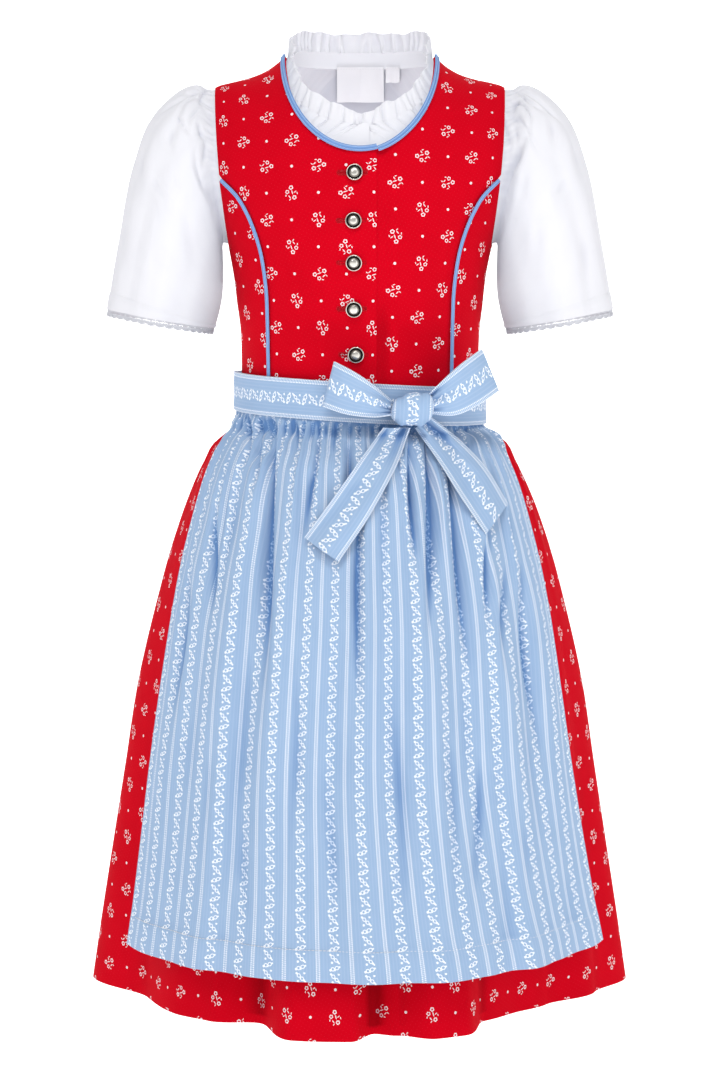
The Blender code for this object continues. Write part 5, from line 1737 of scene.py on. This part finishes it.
def make_lace(side, sign):
    """Heading tape, net and threads of one cuff, carried from flat to the hem's ring."""
    grid, flip = sleeve_forms[side][0], np.array((sign, 1.0, 1.0))
    centre, ring = grid[-1].mean(axis=0), closed_ring(grid[-1])
    along = unit((grid[-1] - grid[-4]).mean(axis=0))
    run = run_along(ring)
    count = int(round(run[-1] / SCALLOP))
    pitch = run[-1] / count

    def carried(across, drop):
        base = places_at(np.mod(across, run[-1]), run, ring)
        out = base - centre
        out = unit(out - np.outer(out @ along, along))
        return base + np.outer(drop + 0.3, along) - out * 0.35, out

    points, faces, base = [], [], 0
    for repeat in range(count):
        for closed, half, flat in lace_paths(pitch):
            place, out = carried(flat[:, 0] + (repeat + 0.5) * pitch, flat[:, 1])
            points.append(thread_points(place, out, closed, half))
            faces += thread_faces(base, len(place), closed)
            base += 4 * len(place)
    mesh = new_mesh("lace", np.concatenate(points) * flip, faces)[0]
    threads = link_piece("lace threads", mesh, grey_shaded_lace, turned=True)

    def ribbon(name, across, drops, v, rise, thick):
        rows = [carried(across[:-1], drop) for drop in drops]
        out = rows[0][1]
        outer = np.array([place + out * rise for place, _ in rows])
        inner = outer - out * thick
        wall = (outer * flip, inner * flip, flat_uv(across, np.reshape(v, (-1, 1))))
        return cloth_mesh(name, [wall], grey_shaded_lace, closed=True)

    spots = np.linspace(0.0, run[-1], 14 * count + 1)
    tip = 1.6 + 2.75 * np.abs(np.sin(math.pi * spots[:-1] / pitch)) ** 0.85
    drops = [NET_TOP + (tip - NET_TOP) * part for part in ramp(4)]
    net = ribbon("lace net", spots, drops, np.linspace(2.0, 4.0, 4), -0.05, 0.25)
    drops = [np.full(240, drop) for drop in HEADING_DROPS]
    around = np.linspace(0.0, run[-1], 241)
    heading = ribbon("lace heading", around, drops, HEADING_DROPS, 0.25, 0.5)
    piece = joined_piece("lace_%s_threads" % side, [heading, net, threads])
    stand_for(piece, "lace_" + side)


for side, sign in SIDES:
    make_lace(side, sign)

# %% [markdown]
# The apron hangs from a waistband, and its long strings are wound once round over the band and
# tied in front, left of the wearer's middle. The strings are cut along the stripe, so the vine
# runs down their centre and the chain beside each edge. The wrap pulls into shallow lengthwise
# creases that gather towards the knot.

# %% Waistband and wrapped strings
BAND_RADIUS, BAND_WALL = 86.0, 0.9


def band_top(degrees):
    front = curve_through(BAND_TOP, np.clip(degrees, -90.0, 90.0), 1)
    run = np.clip((np.mod(degrees, 360.0) - 90.0) / 180.0, 0.0, 1.0)
    behind = BAND_TOP[-1, 1] + (BAND_TOP[0, 1] - BAND_TOP[-1, 1]) * run
    return np.where(np.abs(degrees) <= 90.0, front, behind)


def make_strip(node, start, end, out, columns, trim, closed, crease):
    """A strip round the waist from a start to an end angle, with lengthwise creases."""
    angle = np.radians(np.linspace(start, end, columns, endpoint=not closed))
    signed = signed_angle(angle)
    share = ramp(15)[:, None]
    drop = (BAND_HEIGHT - 2.0 * trim) * (1.0 - share)
    z = band_top(np.degrees(signed))[None] - trim - drop
    knot = np.exp(-((np.degrees(signed) - 22.0) / 34.0) ** 2)[None]
    wave = np.sin(11.0 * share + 1.3 * np.sin(2.0 * angle[None]) + 0.8)
    wave = wave + 0.6 * np.sin(19.0 * share - 3.0 * angle[None])
    edge = ease(np.minimum(share, 1.0 - share) / 0.12)
    radius = ring_radius(TORSO, signed[None], z, 3) + out
    outer = round_body(signed[None], radius + crease * (0.35 + 1.0 * knot) * wave * edge, z)
    flat = np.stack((np.sin(signed), -np.cos(signed), 0.0 * signed), axis=1)
    girth = math.tau * BAND_RADIUS * (end - start) / 360.0
    uv = flat_uv((share - 0.5) * BAND_HEIGHT, np.linspace(0.0, girth, columns + int(closed)))
    sew(node, [(outer, outer - flat * BAND_WALL, uv)], BLUE, closed=closed)


make_strip("apron_waistband", -86.0, 86.0, BAND_OUT - 0.1, 150, 0.2, False, 0.0)
make_strip("apron_tie_wrap", 0.0, 360.0, WRAP_OUT, 320, 0.4, True, 0.42)

# %% [markdown]
# The bow is tied from the two string ends, 27 mm wide: two loops that fold over at their ends
# and come back in front of themselves, two tails cut off slantwise, and one turn of the string
# drawn up tight as the knot. Creases run out of the knot along the loops and tails.

# %% Bow tables
# run from the knot, top x, top z, low x, low z
LOOP_LEFT = table(
    (0, 20.5, -222.5, 20.5, -232), (0.35, 9.3, -212.5, 8.5, -233),
    (0.7, -4, -203.5, -9, -231.5), (1, -16.5, -197, -24, -227),
)
LOOP_RIGHT = table(
    (0, 44.3, -221, 44.3, -231.5), (0.35, 57.5, -207.5, 62, -233),
    (0.7, 69.5, -197.5, 78, -227), (1, 81, -189.5, 93, -218),
)

# run from the knot, left x, left z, right x, right z
TAIL_LEFT = table(
    (0, 16, -240.9, 33, -240.9), (0.3, 3, -257, 24, -264), (0.65, -18, -286, 6.5, -296),
    (1, -36.6, -311, -14, -326),
)
TAIL_RIGHT = table(
    (0, 36.8, -241.8, 46, -232.6), (0.3, 52, -262, 68, -251), (0.65, 66, -284, 85, -269),
    (1, 84, -311, 99.6, -293),
)

# run from the knot, distance between the two layers of a loop
LOOP_BULGE = table(
    (0, 3.4), (0.12, 6), (0.3, 10), (0.5, 12), (0.7, 11), (0.88, 8.6), (1, 5),
)
RIBBON = 27.0
KNOT_GIRTH = 66.0


def wrap_front(x):
    """Front face of the wrapped string."""
    half, depth = 82.6 + WRAP_OUT, 78.0 + WRAP_OUT
    return -depth * np.sqrt(np.clip(1.0 - (x / half) ** 2, 0.0, None))


def between(rows, run, share, low, high):
    """A place between a low and a high column of a table, by share."""
    return curve_through(rows, run, low) * (1.0 - share) + curve_through(rows, run, high) * share


def ribbon_wall(outer, thickness):
    """Way through the ribbon from face to face, of its thickness."""
    return unit(np.cross(np.gradient(outer, axis=1), np.gradient(outer, axis=0))) * thickness


print("ribbon", RIBBON, "mm wide, knot", KNOT_GIRTH, "mm round")

# %% Bow loops
def make_loop(side, rows, seed):
    turn = np.linspace(-1.0, 1.0, 117)
    run = np.where(np.abs(turn) < 0.07, 1.0, (1.0 - np.abs(turn)) / 0.93)[None]
    front = ease((turn + 0.07) / 0.14)[None]
    share = ramp(25)[:, None]
    x, z = between(rows, run, share, 3, 1), between(rows, run, share, 4, 2)
    base = -(80.0 + WRAP_OUT) * np.sqrt(np.clip(1.0 - (x / 128.0) ** 2, 0.0, None)) - 2.2
    base = np.minimum(base, wrap_front(x) - 1.8)
    bulge = curve_through(LOOP_BULGE, run, 1) * front
    nose = 1.0 * np.sin(math.pi * front)
    outward = -1.0 if side == "left" else 1.0
    pleat = 2.5 * np.cos(math.pi * 3.0 * share + seed)
    pleat = pleat + 1.7 * np.cos(math.pi * 6.3 * share + 2.0 * seed)
    reach = 0.34 + 0.12 * np.sin(9.0 * share + seed)
    pleat = pleat * np.exp(-(run / reach) ** 2) * (0.25 + 0.75 * front)
    soft = 0.5 * np.sin(5.0 * run + 3.0 * share + seed) * ease(run / 0.3) * front
    hollow = (0.6 - 1.5 * front) * np.sin(math.pi * share)
    y = base - bulge - np.clip(pleat, -3.0, 3.0) + hollow - soft - 0.4
    grid = np.stack((x + outward * nose, y, z), axis=-1)
    thick = ribbon_wall(grid, 0.7)
    if np.sum(thick * (grid - grid.mean(axis=1, keepdims=True))) < 0.0:
        thick = -thick
    uv = flat_uv((share - 0.5) * RIBBON, run_along(grid.mean(axis=0)))
    sew("bow_loop_" + side, [(grid, grid - thick, uv)], BLUE)


make_loop("left", LOOP_LEFT, 0.6)
make_loop("right", LOOP_RIGHT, 2.1)

# %% Bow tails
def tail_depth(x, z):
    level = np.minimum(z, -246.0)
    angle = np.arcsin(x / 120.0)
    for _ in range(14):
        radius = ring_radius(APRON, angle, level, 2) + 9.6
        angle = np.arcsin(np.clip(x / radius, -0.99, 0.99))
    return np.minimum(-radius * np.cos(angle), wrap_front(x) - 2.5)


def make_tail(side, rows, seed, fold):
    run = ramp(70)[:, None]
    share = ramp(27)[None]
    x, z = between(rows, run, share, 1, 3), between(rows, run, share, 2, 4)
    pleat = 2.5 * np.cos(math.pi * (3.4 * share + seed))
    pleat = pleat * np.exp(-(run / (0.26 + 0.14 * share)) ** 2)
    wave = 1.3 * np.sin(math.pi * (2.0 * share + 1.5 * run))
    crease = fold * np.exp(-((share - 0.25 - 0.9 * run) / 0.10) ** 2) * np.exp(-(run / 0.55) ** 2)
    y = tail_depth(x, z) - wave - pleat - crease
    grid = np.stack((x, y, z), axis=-1)
    thick = ribbon_wall(grid, 0.75)
    if thick[..., 1].sum() > 0.0:
        thick = -thick
    length = np.linalg.norm(grid[-1].mean(axis=0) - grid[0].mean(axis=0))
    uv = flat_uv((share - 0.5) * RIBBON, run * length)
    sew("bow_tail_" + side, [(grid, grid - thick, uv)], BLUE)


make_tail("left", TAIL_LEFT, 0.3, 1.2)
make_tail("right", TAIL_RIGHT, 1.0, 2.0)

# %% Bow knot
def squared(values, power):
    """Rounder corners than a square, squarer than a circle."""
    return np.sign(values) * np.abs(values) ** power


def knot_grid(rows, columns):
    across = np.linspace(-1.0, 1.0, rows)[:, None]
    turn = np.linspace(0.0, math.tau, columns, endpoint=False)[None]
    size = np.clip(1.0 - np.abs(across * 0.985) ** 3.4, 0.02, 1.0) ** (1.0 / 2.6)
    pinch = 0.90 + 0.10 * np.sin(2.0 * across + 0.9)
    crease = 0.7 * np.sin(7.0 * across + 1.8 * np.sin(turn) + 0.5)
    crease = crease + 0.5 * np.sin(13.0 * across - 1.6 * np.sin(turn) + 0.9)
    soft = 1.0 + 0.075 * crease * size
    x = 35.0 + 14.2 * across + 0.5 * np.sin(turn)
    y = -88.25 - 7.8 * size * soft * squared(np.cos(turn), 0.75)
    z = -228.8 + 11.3 * size * pinch * soft * squared(np.sin(turn), 0.75) + 0.9 * across
    return np.stack((x, y, z), axis=-1)


def make_knot():
    rows, columns = 45, 96
    points = knot_grid(rows, columns).reshape(-1, 3)
    mesh, layer = new_mesh("bow_knot_cloth", points, tube_faces(rows, columns))
    for face in mesh.polygons:
        spots = [mesh.loops[number].vertex_index for number in face.loop_indices]
        around = [spot % columns for spot in spots]
        seam = len(spots) == 4 and max(around) == columns - 1 and min(around) == 0
        for number, spot in zip(face.loop_indices, spots):
            row, column = divmod(spot, columns)
            place = columns if seam and column == 0 else column
            across = (row / (rows - 1) - 0.5) * RIBBON * MM
            layer.data[number].uv = (across, place / columns * KNOT_GIRTH * MM)
    piece = link_piece("bow_knot_cloth", mesh, blue_stripe, turned=True)
    stand_for(piece, "bow_knot")


make_knot()

# %% [markdown]
# Two woven tapes are sewn into the back of the neck, one large and one small beside it. They
# are left bare. Each hangs from its upper edge with a slight curl, and is stitched along it.

# %% Neck tapes
TAPE_TOP, TAPE_WALL = 7.5, 0.45


def make_tape(node, left, right, low):
    z = np.linspace(low, TAPE_TOP, 22)[:, None]
    x = np.linspace(left, right, 30)[None]
    point, normal = on_body(torso_at(x, z, True))
    hang = (TAPE_TOP - z) / (TAPE_TOP - low)
    curl = 0.9 * hang ** 2
    curl = curl + 0.35 * hang * np.cos(3.0 * (x - left) / (right - left) * math.pi)
    outer = point - normal * (BLOUSE_INSET + BLOUSE_WALL + 1.9 + curl)[..., None]
    inner = outer - normal * TAPE_WALL
    sew(node, [(outer, inner, flat_uv(x, z))], TAPE, name=node + "_tape")
    name, out = node + "_stitches", -normal[-2]
    carry(stitches(name, inner[-2], out, white_thread, 1.9, 1.3, 0.35, 0.25))


make_tape("neck_label", -17.5, 18.0, -17.0)
make_tape("size_tab", 20.0, 30.5, -3.0)

# %% [markdown]
# The apron's hem is topstitched in white thread. Each stitch is a short flat loop of thread on
# the cloth, lying along the fold line of the hem.

# %% Hem stitches
HEM_STITCH = 20.6


def make_apron_stitches():
    normal = grid_normals(apron_grid)
    level = np.argmin(np.abs(apron_from_hem - HEM_STITCH), axis=0)
    line, out = [], []
    for column in range(8, apron_grid.shape[1] - 8):
        row = level[column]
        above, below = apron_from_hem[row - 1, column], apron_from_hem[row + 1, column]
        part = np.clip((above - HEM_STITCH) / (above - below), 0.0, 1.0)
        high, low = apron_grid[row - 1, column], apron_grid[row + 1, column]
        line.append(high * (1.0 - part) + low * part)
        out.append(normal[row, column])
    line, out = np.array(line), np.array(out)
    return stitches("apron_hem_stitches", line, out, white_thread, 2.5, 1.9, 0.45, 0.3)


carry(make_apron_stitches())
for thread in sleeve_threads:
    carry(thread)

# %% [markdown]
# The cut is larger than the worn form where cloth is gathered: at the skirt, apron, frill,
# sleeves and blouse neck. The sizes come from a size 98 pattern and from the widths measured
# on the finished pieces.


# %% [markdown]
# Light that falls on the red bodice goes on to the white sleeves and would turn them pink
# beside it. In the photograph they stay white, so the red panels pass no light on. They still
# cast shadows.

# %% No pink on the sleeves
for piece in bpy.data.objects:
    if piece.name.startswith("bodice_") and piece.name.endswith("_cloth"):
        piece.visible_diffuse = False
        print("passes no red light on:", piece.name)

# %% [markdown]
# The studio: a pale floor well below the hem, because the dress hangs filled out in the air, a
# white surround, three large soft lights and two small ones, which stand for the light that
# falls into the neck. The camera looks down six degrees, through a long lens, from where the
# photograph was taken.

# %% Camera, lights and floor
def make_camera():
    lens = bpy.data.cameras.new("camera")
    lens.lens = 95.2
    lens.sensor_width = 36.0
    lens.clip_end = 30.0
    camera = bpy.data.objects.new("camera", lens)
    bpy.context.collection.objects.link(camera)
    camera.location = (0.0, -1.98904, -0.11644)
    camera.rotation_euler = (math.radians(84.0), 0.0, 0.0)
    bpy.context.scene.camera = camera


def make_light(name, place, aim, size, power):
    lamp = bpy.data.lights.new(name, "AREA")
    lamp.shape = "SQUARE"
    lamp.size = size
    lamp.energy = power
    light = bpy.data.objects.new(name, lamp)
    bpy.context.collection.objects.link(light)
    light.location = place
    away = mathutils.Vector(aim) - mathutils.Vector(place)
    light.rotation_euler = away.to_track_quat("-Z", "Y").to_euler()

STUDIO_SHEETS = (
    ("studio_floor", (0.0, 0.0, -0.80), 0.0), ("studio_backdrop", (0.0, 9.0, 5.0), 90.0),
)


def make_studio():
    paper, tree, shader = new_material("lit white studio paper", 0.9)
    spot = add(tree, "TexCoord", out="Object")
    shade = add(tree, "TexNoise", {"Vector": spot, "Scale": 3.0, "Detail": 2.0})
    paint = add(tree, "Mix", {0: shade, 6: "#FCFCFC", 7: "#FEFEFE"}, **COLOUR)
    plug(paint, shader, "Base Color")
    shader.inputs["Emission Color"].default_value = (1.0, 1.0, 1.0, 1.0)
    shader.inputs["Emission Strength"].default_value = 0.75
    for name, place, turn in STUDIO_SHEETS:
        turned = (math.radians(turn), 0.0, 0.0)
        bpy.ops.mesh.primitive_plane_add(size=24.0, location=place, rotation=turned)
        sheet = bpy.context.object
        sheet.name = name
        sheet.data.materials.append(paper)


def make_surround():
    world = bpy.data.worlds.new("white surround")
    world.use_nodes = True
    background = world.node_tree.nodes["Background"]
    background.inputs["Color"].default_value = (1.0, 1.0, 1.0, 1.0)
    background.inputs["Strength"].default_value = 0.46
    bpy.context.scene.world = world
    bpy.context.scene.view_settings.view_transform = "Standard"


print("studio sheets", len(STUDIO_SHEETS))

# %% Set up the camera and the lights
make_camera()
make_light("key", (-1.0, -1.9, 1.5), (0.0, 0.0, -0.3), 1.0, 13.5)
make_light("fill", (1.6, -1.8, 0.3), (0.0, 0.0, -0.35), 1.6, 8.0)
make_light("neck", (0.1, -1.0, 1.15), (0.0, 0.05, -0.03), 0.4, 7.5)
make_light("inside", (0.0, -0.03, -0.075), (0.0, 0.07, -0.008), 0.06, 0.046)
make_light("back", (0.6, 2.2, 1.2), (0.0, 0.0, -0.3), 1.6, 4.5)

make_studio()
make_surround()
print("lights", len(bpy.data.lights))
